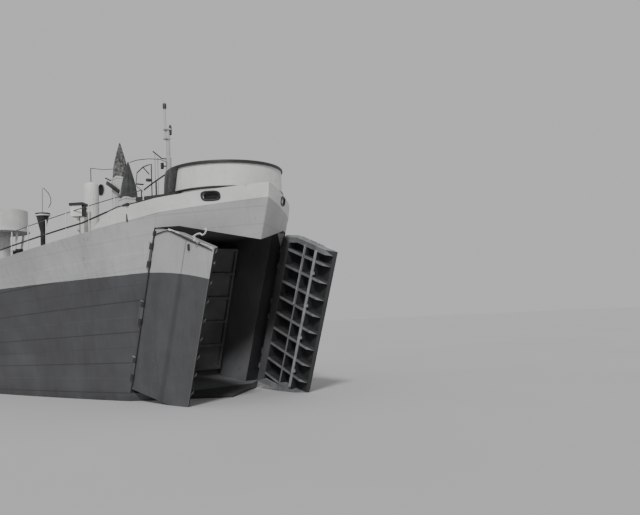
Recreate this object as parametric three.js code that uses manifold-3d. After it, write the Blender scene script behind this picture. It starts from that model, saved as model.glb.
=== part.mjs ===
// A tank landing ship as a 1:10 scale model, bow doors open and bow ramp raised.
// The ship's own sizes are given in real metres and multiplied by S to millimetres of the model.
// X points forward, Y to port, Z up from the flat keel; X = 0 is amidships.
import * as THREE from 'three';
import { mergeVertices } from 'three/addons/utils/BufferGeometryUtils.js';
import Module from 'manifold-3d';

const wasm = await Module();
wasm.setup();

// Scale and gaps
const S = 100;
const TOUCH = 0.003;
const RUN = 0.07;

// Hull
const STERN_X = -50;
const HALF_BEAM = 7.62;
const DEPTH = 7.68;
const BILGE_RADIUS = 0.8;
const RUN_START_X = -35;
const TRANSOM_KEEL_Z = 4.3;
const SHEER_START_X = 20;
const STEM_TOP_X = 49.8;
const STEM_DECK_Z = 9.58;
const FOREFOOT_START_X = 30;
const FOREFOOT_RISE = 0.9;
const PAINT_BORDER_Z = 6.75;

// Bow: hinge line and stem line lean forward together
const RAKE = THREE.MathUtils.degToRad(22);
const BOW_REF_Z = 1.5;
const HINGE_X = 43.3;
const HINGE_Y = 3.4;
const BOW_LENGTH = 3.2;
const DOOR_TOP_Z = 8.605;
const DOOR_LEVEL_SHARE = 0.26;
const CHIN_DROP = 0.715;
const SILL_AFT = [41.0, 1.75];
const SILL_FORE = [46.9, 1.3];
const SILL_CLEARANCE = 0.14;
const DOOR_OPEN = THREE.MathUtils.degToRad(44.3);
const DOOR_THICKNESS = 0.42;
const DOOR_PLATE = 0.08;

// Tank deck and its tunnel
const TANK_DECK_Z = 3.3;
const TANK_DECK_DROP = 0.02;
const TUNNEL_AFT_X = -30;
const TUNNEL_HALF_WIDTH = 4.57;
const TUNNEL_NARROWS_X = 32;
const VESTIBULE_X = 40;
const VESTIBULE_HALF_WIDTH = 2.65;
const TUNNEL_TOP_Z = 7.3;
const DECK_SLAB = 0.38;
const INCLINE_X = 36;

// Bow ramp
const RAMP_PIN = [40.9, 2.25];
const RAMP_LENGTH = 6.35;
const RAMP_HALF_WIDTH = 2.5;
const RAMP_THICKNESS = 0.3;
const RAMP_LEAN = THREE.MathUtils.degToRad(20);

// Fittings on the deck
const BOW_TUB = { x: 46.39, radius: 2.54, rim: 11.2, floor: 10.0, wall: 0.08, pedestal: 1.3 };
const HATCH = { aft: 13, fore: 20, halfWidth: 2.6, height: 0.7, wall: 0.12, doubler: 0.5, lift: 0.02 };
const PROP = { x: -45.6, y: 3.4, z: 1.35, radius: 1.05, hub: 0.28 };
const RUDDER = { x: -47.25, bottom: 0.5 };

const PAINT = {
  light: 0xb4b5b3, pale: 0xc9c9c6, dark: 0x4a4b4e, deck: 0x6d6e6f, black: 0x2c2c2e,
  canvas: 0x2b2c2c, bronze: 0x8b7448, steel: 0x77787a,
};

const ship = new THREE.Group();

function addMesh(name, geometry, colour, roughness = 0.75, metalness = 0.1) {
  const material = new THREE.MeshStandardMaterial({ color: colour, roughness, metalness });
  const mesh = new THREE.Mesh(geometry, material);
  mesh.name = name;
  ship.add(mesh);
  return mesh;
}

function toSolid(geometry) {
  const bare = geometry.clone();
  bare.deleteAttribute('normal');
  bare.deleteAttribute('uv');
  const merged = mergeVertices(bare, 1e-3);
  const vertProperties = new Float32Array(merged.attributes.position.array);
  const triVerts = new Uint32Array(merged.index.array);
  return new wasm.Manifold(new wasm.Mesh({ numProp: 3, vertProperties, triVerts }));
}

function toGeometry(solid) {
  const mesh = solid.getMesh();
  const geometry = new THREE.BufferGeometry();
  geometry.setAttribute('position', new THREE.Float32BufferAttribute(mesh.vertProperties, 3));
  geometry.setIndex(Array.from(mesh.triVerts));
  return geometry;
}

// A prism whose outline lies in the plane of X and Z, between two values of Y
function prismXZ(points, y0, y1) {
  const shape = new THREE.Shape(points.map(([x, z]) => new THREE.Vector2(x * S, z * S)));
  const geometry = new THREE.ExtrudeGeometry(shape, { depth: (y1 - y0) * S, bevelEnabled: false });
  geometry.rotateX(Math.PI / 2);
  geometry.translate(0, y1 * S, 0);
  return toSolid(geometry);
}

// A prism whose outline lies in the plane of X and Y, between two values of Z
function prismXY(points, z0, z1) {
  const shape = new THREE.Shape(points.map(([x, y]) => new THREE.Vector2(x * S, y * S)));
  const geometry = new THREE.ExtrudeGeometry(shape, { depth: (z1 - z0) * S, bevelEnabled: false });
  geometry.translate(0, 0, z0 * S);
  return toSolid(geometry);
}

function block(x0, x1, y0, y1, z0, z1) {
  const geometry = new THREE.BoxGeometry((x1 - x0) * S, (y1 - y0) * S, (z1 - z0) * S);
  geometry.translate((x0 + x1) / 2 * S, (y0 + y1) / 2 * S, (z0 + z1) / 2 * S);
  return toSolid(geometry);
}

// A turned piece about a vertical axis; profile rows are radius, height
function turned(profile, x, y, z, sides = 24) {
  const points = profile.map(([radius, height]) => new THREE.Vector2(radius * S, height * S));
  const geometry = new THREE.LatheGeometry(points, sides);
  geometry.rotateX(Math.PI / 2);
  geometry.translate(x * S, y * S, z * S);
  return toSolid(geometry);
}

function post(radius, x, y, z0, z1, sides = 12) {
  return turned([[0, 0], [radius, 0], [radius, z1 - z0], [0, z1 - z0]], x, y, z0, sides);
}

// A round bar between two points
function bar(from, to, radius, sides = 8) {
  const a = new THREE.Vector3(...from).multiplyScalar(S);
  const b = new THREE.Vector3(...to).multiplyScalar(S);
  const geometry = new THREE.CylinderGeometry(radius * S, radius * S, a.distanceTo(b), sides);
  const turn = new THREE.Quaternion();
  turn.setFromUnitVectors(new THREE.Vector3(0, 1, 0), b.clone().sub(a).normalize());
  geometry.applyQuaternion(turn);
  geometry.translate((a.x + b.x) / 2, (a.y + b.y) / 2, (a.z + b.z) / 2);
  return toSolid(geometry);
}

// A closed skin over rings of points, each ring with the same number of points
function loft(rings) {
  const count = rings[0].length;
  const positions = rings.flat(2).map((value) => value * S);
  const index = [];
  for (let r = 0; r < rings.length - 1; r += 1) {
    for (let i = 0; i < count; i += 1) {
      const a = r * count + i;
      const b = r * count + (i + 1) % count;
      index.push(a, b, b + count, a, b + count, a + count);
    }
  }
  const last = (rings.length - 1) * count;
  for (let i = 1; i < count - 1; i += 1) {
    index.push(0, i + 1, i);
    index.push(last, last + i, last + i + 1);
  }
  const geometry = new THREE.BufferGeometry();
  geometry.setAttribute('position', new THREE.Float32BufferAttribute(positions, 3));
  geometry.setIndex(index);
  return toSolid(geometry);
}

// Lines of the hull
const hingeX = (z) => HINGE_X + (z - BOW_REF_Z) * Math.tan(RAKE);
const stemX = (z) => hingeX(z) + BOW_LENGTH;

function deckHeight(x) {
  const fore = Math.max(0, (x - SHEER_START_X) / (STEM_TOP_X - SHEER_START_X));
  const aft = Math.max(0, (-30 - x) / 20);
  return DEPTH + (STEM_DECK_Z - DEPTH) * fore ** 1.9 + 0.35 * aft ** 2;
}

// Where a fitting starts, just under the deck that then trims it
const footHeight = (x) => deckHeight(x) - 0.12;

function keelHeight(x) {
  const aft = Math.max(0, (RUN_START_X - x) / (RUN_START_X - STERN_X));
  const fore = Math.max(0, (x - FOREFOOT_START_X) / (STEM_TOP_X - FOREFOOT_START_X));
  return TRANSOM_KEEL_Z * aft ** 1.35 + FOREFOOT_RISE * fore ** 1.5;
}

// Half breadth at full height of the side: rounded stern, parallel body, tapering shoulders
function sideBreadth(x, z) {
  const aft = Math.max(0, (RUN_START_X - x) / 15.2);
  const narrow = 1 - 0.16 * aft * Math.max(0, 1 - z / DEPTH);
  const sternPart = HALF_BEAM * (1 - aft ** 2.6) ** 0.5 * narrow;
  const entrance = THREE.MathUtils.clamp(24 - 3 * (z - PAINT_BORDER_Z), 17.5, 33);
  const back = Math.min(1, Math.max(0, (hingeX(z) - x) / entrance));
  return Math.min(sternPart, HINGE_Y + (HALF_BEAM - HINGE_Y) * (1 - (1 - back) ** 2));
}

// Half breadth forward of the hinge line; share runs from 0 at the hinge to 1 at the stem
function bowBreadth(share, z) {
  const fullness = 1 + 0.25 * THREE.MathUtils.clamp((z - DOOR_TOP_Z) / 1.1, 0, 1);
  return HINGE_Y * (1 - share ** fullness) + 0.02;
}

const BILGE_ANGLES = [0, 30, 60, 90].map(THREE.MathUtils.degToRad);
const SIDE_LEVELS = [TANK_DECK_Z, PAINT_BORDER_Z];

// One ring of the hull: placeX gives X at a height, breadth gives the half breadth there
function hullRing(placeX, breadth) {
  const keel = keelHeight(placeX(0.5));
  let deck = deckHeight(placeX(DEPTH));
  deck = deckHeight(placeX(deck));
  const side = [];
  for (const angle of BILGE_ANGLES) {
    const z = keel + BILGE_RADIUS * (1 - Math.cos(angle));
    const inset = BILGE_RADIUS * (1 - Math.sin(angle));
    side.push([placeX(z), Math.max(0.02, breadth(placeX(z), z) - inset), z]);
  }
  for (const level of [...SIDE_LEVELS, deck]) {
    const z = Math.max(level, keel + BILGE_RADIUS + 0.1);
    side.push([placeX(z), breadth(placeX(z), z), z]);
  }
  const starboard = side.map(([x, y, z]) => [x, -y, z]).reverse();
  return [...side, ...starboard];
}

const STERN_STATIONS = [-50, -49.7, -49, -48, -46.5, -44.5, -42, -39, -35, -10, 8];
const SHOULDER_STATIONS = [30, 26.5, 23.3, 20.4, 17.8, 15.4, 13.2, 11.2, 9.4, 7.7, 6.1, 4.6, 3.3, 2.1, 1, 0];
const BOW_SHARES = [0.12, 0.25, 0.38, 0.51, 0.64, 0.76, 0.87, 0.95, 1];

function hullRings() {
  const rings = STERN_STATIONS.map((x) => hullRing(() => x, sideBreadth));
  for (const back of SHOULDER_STATIONS) {
    const lean = Math.max(0, 1 - back / 14) * Math.tan(RAKE);
    rings.push(hullRing((z) => HINGE_X - back + lean * (z - BOW_REF_Z), sideBreadth));
  }
  for (const share of BOW_SHARES) {
    rings.push(hullRing((z) => hingeX(z) + share * BOW_LENGTH, (x, z) => bowBreadth(share, z)));
  }
  return rings;
}

const hull = loft(hullRings());
const hullRaised = hull.translate(0, 0, TOUCH * S);

// Everything at the bow below a curve of heights, also outside the hull's sides
function belowCurve(height) {
  const curve = [];
  for (let x = 42; x <= 51.001; x += 0.25) curve.push([x, height(x)]);
  return prismXZ([[42, 0], [51, 0], ...curve.reverse()], -10, 10);
}

// Profiles in the plane of X and Z that divide the hull
const FAR = 60;
const bowLine = (offset) => [
  [hingeX(-2) + offset, -2], [hingeX(14) + offset, 14], [FAR + 20, 14], [FAR + 20, -2],
];
const ahead = (offset) => prismXZ(bowLine(offset), -FAR, FAR);

function chinLine(gap) {
  const topX = hingeX(DOOR_TOP_Z);
  const kneeX = topX + DOOR_LEVEL_SHARE * BOW_LENGTH;
  const chinZ = DOOR_TOP_Z - CHIN_DROP;
  const chinX = stemX(chinZ);
  const slope = CHIN_DROP / (chinX - kneeX);
  return [
    [topX - 3, DOOR_TOP_Z + gap], [kneeX, DOOR_TOP_Z + gap],
    [chinX + 3, chinZ - 3 * slope + gap],
  ];
}

function sillLine(gap) {
  return [[SILL_AFT[0], SILL_AFT[1] + gap], [SILL_FORE[0] + 2, sillHeight(SILL_FORE[0] + 2) + gap]];
}

function sillHeight(x) {
  const slope = (SILL_FORE[1] - SILL_AFT[1]) / (SILL_FORE[0] - SILL_AFT[0]);
  return SILL_AFT[1] + slope * (x - SILL_AFT[0]);
}

function makeHullLower() {
  const profile = [
    [TUNNEL_AFT_X, -1], [FAR, -1], [FAR, sillHeight(FAR)], SILL_AFT,
    [SILL_AFT[0] - 0.25, RAMP_PIN[1] - 0.35], [RAMP_PIN[0] - 0.4, RAMP_PIN[1]],
    [INCLINE_X, TANK_DECK_Z], [TUNNEL_AFT_X, TANK_DECK_Z],
  ];
  const half = TUNNEL_HALF_WIDTH - TOUCH;
  const deck = TANK_DECK_Z - TANK_DECK_DROP;
  const load = block(TUNNEL_AFT_X - 1, TUNNEL_NARROWS_X, -half, half, deck, TANK_DECK_Z + 1);
  return hull.intersect(prismXZ(profile, -FAR, FAR)).subtract(load);
}

function makeHullStern() {
  return hull.intersect(block(-FAR, TUNNEL_AFT_X - TOUCH, -FAR, FAR, -1, 20));
}

// Plan outline of the load tunnel, widened by grow
function tunnelPlan(grow) {
  const half = TUNNEL_HALF_WIDTH + grow;
  const mouth = VESTIBULE_HALF_WIDTH + grow;
  return [
    [TUNNEL_AFT_X - 1, -half], [TUNNEL_NARROWS_X, -half], [VESTIBULE_X, -mouth], [FAR, -mouth],
    [FAR, mouth], [VESTIBULE_X, mouth], [TUNNEL_NARROWS_X, half], [TUNNEL_AFT_X - 1, half],
  ];
}

function makeWing(side) {
  const cut = TANK_DECK_Z + TOUCH;
  let wing = hull.intersect(block(TUNNEL_AFT_X, TUNNEL_NARROWS_X, 0.5, FAR, cut, 20));
  wing = wing.subtract(prismXY(tunnelPlan(0), 0, 20));
  return side > 0 ? wing : wing.mirror([0, 1, 0]);
}

function makeShoulder(side) {
  const profile = [
    [TUNNEL_NARROWS_X + TOUCH, TANK_DECK_Z + TOUCH], [INCLINE_X, TANK_DECK_Z + TOUCH],
    [RAMP_PIN[0] - 0.4, RAMP_PIN[1] + TOUCH], [SILL_AFT[0] - 0.25 + TOUCH, RAMP_PIN[1] - 0.35 + TOUCH],
    [SILL_AFT[0] + TOUCH, SILL_AFT[1] + TOUCH], [FAR, sillHeight(FAR) + TOUCH], [FAR, 20],
    [TUNNEL_NARROWS_X + TOUCH, 20],
  ];
  let shoulder = hull.intersect(prismXZ(profile, 0.5, FAR));
  shoulder = shoulder.subtract(prismXY(tunnelPlan(0), 0, 20)).subtract(ahead(0));
  shoulder = addAll(cutAll(shoulder, doorBarrels(1, BARREL_RECESS, TOUCH)), hullBarrels(1, 0));
  return side > 0 ? shoulder : shoulder.mirror([0, 1, 0]);
}

function makeMainDeck() {
  const end = VESTIBULE_X;
  const under = deckHeight(end) - DECK_SLAB;
  const profile = [
    [TUNNEL_AFT_X, TUNNEL_TOP_Z], [SHEER_START_X, TUNNEL_TOP_Z], [end, under],
    [end, 20], [TUNNEL_AFT_X, 20],
  ];
  let deck = hull.intersect(prismXZ(profile, -FAR, FAR));
  deck = deck.intersect(prismXY(tunnelPlan(-TOUCH), 0, 20));
  const { aft, fore, halfWidth } = HATCH;
  deck = deck.add(hatchDoubler(0));
  return deck.subtract(block(aft, fore, -halfWidth, halfWidth, 0, 20));
}

// Doubler plate round the hatch, which carries the coaming
function hatchDoubler(gap) {
  const { aft, fore, halfWidth, doubler, lift } = HATCH;
  const half = halfWidth + doubler;
  return block(aft - doubler, fore + doubler, -half, half, DEPTH - 0.1, DEPTH + lift + gap);
}

// Forecastle deck over the vestibule and the overhang in front of it, above the doors
function makeForecastle() {
  const start = VESTIBULE_X + TOUCH;
  const under = deckHeight(VESTIBULE_X) - DECK_SLAB;
  const profile = [[start, under], ...chinLine(0), [FAR, 20], [start, 20]];
  const above = hull.intersect(prismXZ(profile, -FAR, FAR));
  const between = above.intersect(prismXY(tunnelPlan(-TOUCH), 0, 20));
  return between.add(above.intersect(ahead(TOUCH)));
}

// Bulwark round the bow: it rises in a quarter sine from its after end to its full height
const BULWARK_AFT = [43.1, 43.6, 44.3, 45.2];
const BULWARK_THICKNESS = 0.09;
const BULWARK_FLARE = 0.14;
const CHOCK = { x: 48.22, z: 9.74, halfLength: 0.28, halfHeight: 0.18, corner: 0.1 };

function bulwarkTop(x) {
  const sweep = THREE.MathUtils.clamp((x - BULWARK_AFT[0]) / 1.4, 0, 1);
  return deckHeight(x) + 0.12 + 0.5 * Math.sin(sweep * Math.PI / 2);
}

// Mooring chocks: one opening with cut corners through both sides of the bulwark
function chockOpening() {
  const { x, z, halfLength, halfHeight, corner } = CHOCK;
  const quarter = [[halfLength, halfHeight - corner], [halfLength - corner, halfHeight]];
  const turns = [[1, 1, false], [-1, 1, true], [-1, -1, false], [1, -1, true]];
  const outline = turns.flatMap(([sx, sz, flip]) => {
    const pair = quarter.map(([dx, dz]) => [x + sx * dx, z + sz * dz]);
    return flip ? pair.reverse() : pair;
  });
  return prismXZ(outline, -3, 3);
}

function bulwarkFoot(x, y) {
  return { x, y, z: deckHeight(x) + TOUCH };
}

function bulwarkPath() {
  const path = [];
  for (const x of BULWARK_AFT) path.push(bulwarkFoot(x, sideBreadth(x, deckHeight(x))));
  for (const share of [0, ...BOW_SHARES]) {
    const z = deckHeight(stemX(9.4) - BOW_LENGTH * (1 - share));
    const x = hingeX(z) + share * BOW_LENGTH;
    path.push(bulwarkFoot(x, share === 1 ? 0 : bowBreadth(share, z)));
  }
  const mirrored = path.slice(0, -1).map(({ x, y, z }) => ({ x, y: -y, z }));
  return [...mirrored, ...path.reverse()];
}

function outwardAt(path, i) {
  const before = path[Math.max(0, i - 1)];
  const after = path[Math.min(path.length - 1, i + 1)];
  const along = new THREE.Vector2(after.x - before.x, after.y - before.y).normalize();
  return new THREE.Vector2(along.y, -along.x);
}

// The space inside the bulwark, as a prism on its foot line
function insideBulwark(gap) {
  const path = bulwarkPath();
  const inset = BULWARK_THICKNESS + gap;
  const plan = path.map((point, i) => {
    const out = outwardAt(path, i);
    return [point.x - out.x * inset, point.y - out.y * inset];
  });
  return prismXY([[41, plan[0][1]], ...plan, [41, -plan[0][1]]], 8, 12);
}

function makeBulwark() {
  const path = bulwarkPath();
  const rings = path.map((point, i) => {
    const out = outwardAt(path, i);
    const top = bulwarkTop(point.x);
    const flare = BULWARK_FLARE * (top - point.z);
    const inner = flare - BULWARK_THICKNESS;
    return [
      [point.x + out.x * inner, point.y + out.y * inner, top],
      [point.x + out.x * flare, point.y + out.y * flare, top],
      [point.x, point.y, point.z],
      [point.x - out.x * BULWARK_THICKNESS, point.y - out.y * BULWARK_THICKNESS, point.z],
    ];
  });
  return loft(rings).subtract(hullRaised).subtract(chockOpening());
}

// Doors: each lies in the plane of its hinge line and the stem line
const RAKE_AXIS = new THREE.Vector3(Math.sin(RAKE), 0, Math.cos(RAKE));

function doorFrame(side) {
  const across = new THREE.Vector3(BOW_LENGTH, -side * HINGE_Y, 0).normalize();
  const inward = new THREE.Vector3().crossVectors(across, RAKE_AXIS).normalize();
  const up = new THREE.Vector3().crossVectors(inward, across);
  const origin = new THREE.Vector3(hingeX(0), side * HINGE_Y, 0).multiplyScalar(S);
  const matrix = new THREE.Matrix4().makeBasis(across, up, inward);
  matrix.setPosition(origin);
  return matrix;
}

// A slab in a door's own plane: outline in metres along and up the door, depth inward
function doorSlab(points, from, to, side) {
  const shape = new THREE.Shape(points.map(([u, v]) => new THREE.Vector2(u * S, v * S)));
  const geometry = new THREE.ExtrudeGeometry(shape, { depth: (to - from) * S, bevelEnabled: false });
  geometry.translate(0, 0, (side > 0 ? from : -to) * S);
  geometry.applyMatrix4(doorFrame(side));
  return toSolid(geometry);
}

// Ribs inside a door: uprights along the hinge line, and rows that fall towards the free edge
const DOOR_SKEW = Math.sin(RAKE) * BOW_LENGTH / Math.hypot(BOW_LENGTH, HINGE_Y);
const DOOR_UPRIGHTS = [1.15, 2.65, 3.56, 4.56];
const DOOR_LOWEST_ROW = 1.5;
const DOOR_ROW_COUNT = 10;
const DOOR_ROW_PITCH = 0.748;
const DOOR_ROW_FALL = 0.2;
const RIB = 0.12;

function skewed(u, v) {
  return [u + v * DOOR_SKEW / Math.sqrt(1 - DOOR_SKEW ** 2), v];
}

function doorPocket(column, row, side) {
  const [u0, u1] = [DOOR_UPRIGHTS[column] + RIB / 2, DOOR_UPRIGHTS[column + 1] - RIB / 2];
  const low = DOOR_LOWEST_ROW + row * DOOR_ROW_PITCH;
  const [v0, v1] = [low + RIB / 2, low + DOOR_ROW_PITCH - RIB / 2];
  const fallen = (u, v) => skewed(u, v - DOOR_ROW_FALL * (u - DOOR_UPRIGHTS[0]));
  const outline = [fallen(u0, v0), fallen(u1, v0), fallen(u1, v1), fallen(u0, v1)];
  return doorSlab(outline, DOOR_PLATE, DOOR_THICKNESS + 0.2, side);
}

// The doorway seen from the side, inset by the running gap or more
function doorwayProfile(inset) {
  const chin = chinLine(-inset);
  const sill = sillLine(inset + SILL_CLEARANCE);
  return [sill[0], sill[1], [FAR, sill[1][1]], [FAR, chin[2][1]], chin[2], chin[1], chin[0]];
}

// Hinge barrels, by height along the lean: the door's own and the hull's above and below each
const BARREL = { radius: 0.15, half: 0.24, heights: [2.7, 5.1, 7.5], sides: 10 };
const BARREL_RECESS = (BARREL.radius + TOUCH) / Math.cos(Math.PI / BARREL.sides);

function barrelAt(side, z, offset, half, radius) {
  const from = z + offset - half;
  const to = z + offset + half;
  const y = side * HINGE_Y;
  return bar([hingeX(from), y, from], [hingeX(to), y, to], radius, BARREL.sides);
}

// The door's middle barrels, or the recess that they turn in
function doorBarrels(side, radius = BARREL.radius, grow = 0) {
  return BARREL.heights.map((z) => barrelAt(side, z, 0, BARREL.half + grow, radius));
}

// The hull's barrels, which stand over and under the door's
function hullBarrels(side, grow) {
  const { radius, half, heights } = BARREL;
  const step = half * 1.5 + TOUCH;
  const around = (z) => [-step, step].map((up) => barrelAt(side, z, up, half / 2 + grow, radius + grow));
  return heights.flatMap(around);
}

const addAll = (solid, extras) => extras.reduce((sum, extra) => sum.add(extra), solid);
const cutAll = (solid, extras) => extras.reduce((sum, extra) => sum.subtract(extra), solid);

function makeDoor(side) {
  const outline = [skewed(-1, 0.5), skewed(6, 0.5), skewed(6, 10), skewed(-1, 10)];
  let door = doorSlab(outline, 0, DOOR_THICKNESS, side);
  let pockets = doorPocket(0, 0, side);
  for (let column = 0; column < DOOR_UPRIGHTS.length - 1; column += 1) {
    for (let row = 0; row < DOOR_ROW_COUNT; row += 1) {
      pockets = pockets.add(doorPocket(column, row, side));
    }
  }
  door = door.subtract(pockets.intersect(prismXZ(doorwayProfile(0.3), -FAR, FAR)));
  door = door.intersect(prismXZ(doorwayProfile(RUN), -FAR, FAR)).intersect(ahead(RUN));
  const half = side > 0 ? [0.04, FAR] : [-FAR, -0.04];
  door = door.intersect(block(-FAR, FAR, half[0], half[1], -1, 20));
  return addAll(cutAll(door, hullBarrels(side, RUN / 2)), doorBarrels(side));
}

function hingePoint(side) {
  return new THREE.Vector3(hingeX(BOW_REF_Z), side * HINGE_Y, BOW_REF_Z).multiplyScalar(S);
}

// The door is drawn closed and then swung open about its hinge line
function addDoor(name, side) {
  const pivot = hingePoint(side);
  const geometry = toGeometry(makeDoor(side));
  geometry.translate(-pivot.x, -pivot.y, -pivot.z);
  const mesh = addMesh(name, geometry, PAINT.dark);
  mesh.position.copy(pivot);
  mesh.quaternion.setFromAxisAngle(RAKE_AXIS, side * DOOR_OPEN);
}

// The ramp is drawn level, pointing forward from its pin, and then raised
function makeRamp() {
  let ramp = block(0.0, RAMP_LENGTH, -RAMP_HALF_WIDTH, RAMP_HALF_WIDTH, -0.12, 0);
  const edge = RAMP_HALF_WIDTH - 0.06;
  for (const y of [-edge, -0.82, 0.82, edge]) {
    ramp = ramp.add(block(0.0, RAMP_LENGTH, y - 0.06, y + 0.06, -RAMP_THICKNESS, -0.1));
  }
  for (const x of [0.06, 1.3, 2.55, 3.8, 5.05, RAMP_LENGTH - 0.06]) {
    ramp = ramp.add(block(x - 0.06, x + 0.06, -edge, edge, -RAMP_THICKNESS, -0.1));
  }
  const reach = VESTIBULE_HALF_WIDTH - TOUCH;
  return ramp.add(bar([0, -reach, 0], [0, reach, 0], 0.12, 12));
}

function addRamp() {
  const mesh = addMesh('bow_ramp', toGeometry(makeRamp()), PAINT.dark);
  mesh.position.set(RAMP_PIN[0] * S, 0, RAMP_PIN[1] * S);
  mesh.rotation.y = -(Math.PI / 2 - RAMP_LEAN);
}

// Round splinter shields, open on top
function tubWall(radius, wall, z0, z1, x, y, sides = 40) {
  const profile = [
    [radius - wall, 0], [radius, 0], [radius, z1 - z0], [radius - wall, z1 - z0], [radius - wall, 0],
  ];
  return turned(profile, x, y, z0, sides);
}

function makeBowTub() {
  const { x, radius, rim, floor, wall, pedestal } = BOW_TUB;
  let tub = tubWall(radius, wall, floor - 0.04, rim, x, 0, 40);
  tub = tub.add(post(pedestal, x, 0, footHeight(x - pedestal), floor + 0.05, 20));
  tub = tub.add(post(radius - 0.02, x, 0, floor, floor + 0.1, 40));
  tub = tub.add(tubWall(radius + 0.07, 0.14, rim - 0.08, rim, x, 0, 40));
  const gate = block(-3.2, -1.4, -0.55, 0.55, floor + 0.1, 20).rotate([0, 0, 52]);
  tub = tub.subtract(gate.translate([x * S, 0, 0]));
  tub = tub.subtract(belowCurve((at) => bulwarkTop(at) + 0.02).subtract(insideBulwark(0.02)));
  return tub.subtract(hullRaised);
}

// Side tubs stand high on a column, propped by slanting struts
const SIDE_TUB = { x: 28.3, y: 4.9, radius: 1.7, rim: 11.75, floor: 10.45, column: 0.7, strut: 0.07 };
const STRUT_ANGLES = [30, 90, 150, 210, 270, 330].map(THREE.MathUtils.degToRad);

function makeSideTub(side) {
  const { x, radius, rim, floor, column, strut } = SIDE_TUB;
  const y = side * SIDE_TUB.y;
  let tub = tubWall(radius, 0.08, floor, rim, x, y, 28);
  tub = tub.add(post(radius - 0.02, x, y, floor, floor + 0.1, 28));
  tub = tub.add(tubWall(radius + 0.1, 0.14, floor, floor + 0.07, x, y, 28));
  tub = tub.add(post(column, x, y, footHeight(x), floor + 0.05, 14));
  for (const angle of STRUT_ANGLES) {
    const [c, s] = [Math.cos(angle), Math.sin(angle)];
    const foot = [x + 1.1 * c, y + 1.1 * s, footHeight(x)];
    tub = tub.add(bar(foot, [x + 1.5 * c, y + 1.5 * s, floor + 0.05], strut, 5));
  }
  return tub.subtract(hullRaised);
}

// Lower mast, a topmast held beside its head, and a lamp on the topmast
const FOREMAST = { x: 41.0, shoulder: 13.0, head: 14.55, doubling: 0.6, topX: 40.92, topY: -0.1 };
const MAST_LAMP = { radius: 0.09, from: 15.54, to: 15.81 };

function makeForemast() {
  const { x, shoulder, head, doubling, topX, topY } = FOREMAST;
  const foot = footHeight(x);
  const profile = [[0, 0], [0.15, 0], [0.14, shoulder - foot], [0.1, shoulder - foot + 0.05]];
  let mast = turned([...profile, [0.09, head - foot], [0, head - foot]], x, 0, foot, 14);
  mast = mast.add(post(0.055, topX, topY, head - doubling, MAST_LAMP.to - 0.05, 10));
  mast = mast.add(post(MAST_LAMP.radius, topX, topY, MAST_LAMP.from, MAST_LAMP.to, 12));
  for (const z of [head - doubling, head - 0.12]) {
    mast = mast.add(block(topX - 0.1, x + 0.13, topY - 0.09, 0.12, z, z + 0.07));
  }
  return mast.subtract(hullRaised);
}

// Trunks under the two windsails: place, half width and top; each sail is a cone with a radius and a height
const TRUNKS = {
  tall: { x: 40.3, y: -2.3, half: 0.33, top: 11.9, sailRadius: 0.36, sailHeight: 1.75 },
  low: { x: 41.9, y: -2.6, half: 0.36, top: 10.6, sailRadius: 0.4, sailHeight: 1.75 },
};
const TRUNK_LIP = 0.02;

function makeTrunk({ x, y, half, top }) {
  const wide = half + TRUNK_LIP;
  const trunk = block(x - half, x + half, y - half, y + half, footHeight(x), top);
  const lip = block(x - wide, x + wide, y - wide, y + wide, top - 0.1, top);
  return trunk.add(lip).subtract(hullRaised);
}

function makeWindsail({ x, y, top, sailRadius: radius, sailHeight: height }) {
  const profile = [[0, 0], [radius, 0], [radius * 0.86, height * 0.2], [0.05, height], [0, height]];
  return turned(profile, x, y, top + TOUCH, 16);
}

// Round trunk with a low domed top
const VENT_TRUNK = { x: 40.8, y: 4.0, radius: 0.35, shoulder: 11.22, top: 11.41 };

function makeVentTrunk(side) {
  const { x, y, radius, shoulder, top } = VENT_TRUNK;
  const foot = footHeight(x);
  const dome = [[radius, shoulder - foot], [radius * 0.85, top - foot - 0.06], [radius * 0.5, top - foot]];
  const profile = [[0, 0], [radius, 0], ...dome, [0, top - foot]];
  return turned(profile, x, side * y, foot, 18).subtract(hullRaised);
}

// Cone-shaped ventilator head on a thin pipe
const COWL = {
  x: 37.75, y: 5.3, z: 9.38, pipeRadius: 0.12, radius: 0.31, rimRadius: 0.355, height: 0.82, rim: 0.11,
};

function makeCowl(side) {
  const { x, y, z, pipeRadius, radius, rimRadius, height, rim } = COWL;
  const top = height + rim;
  const cone = [[0, 0], [0.12, 0], [radius, height], [rimRadius, height], [rimRadius, top], [0, top]];
  const pipe = post(pipeRadius, x, side * y, footHeight(x), z + 0.2, 12);
  return pipe.add(turned(cone, x, side * y, z, 18)).subtract(hullRaised);
}

// Square box on a post, with one corner turned towards the bow
const RAFT_BOX = { x: 41.4, y: 4.85, half: 0.27, bottom: 9.65, top: 10.2, lid: 0.05, turn: 44 };

function makeRaftBox(side) {
  const { x, y, half, bottom, top, lid, turn } = RAFT_BOX;
  const wide = half + lid;
  let box = block(-half, half, -half, half, bottom, top);
  box = box.add(block(-wide, wide, -wide, wide, top - 0.05, top + 0.07));
  box = box.add(post(0.07, 0, 0, footHeight(x), bottom + 0.1, 10));
  return box.rotate([0, 0, side * turn]).translate([x * S, side * y * S, 0]).subtract(hullRaised);
}

// Drums along the windlass shaft: centre, half length, radius
const WINDLASS = { x: 42.6, shaftUp: 0.75, cheeks: [-0.75, 0.75] };
const WINDLASS_DRUMS = [[0, 1.5, 0.16], [0, 0.4, 0.42], [-1.35, 0.22, 0.3], [1.35, 0.22, 0.3]];

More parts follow.
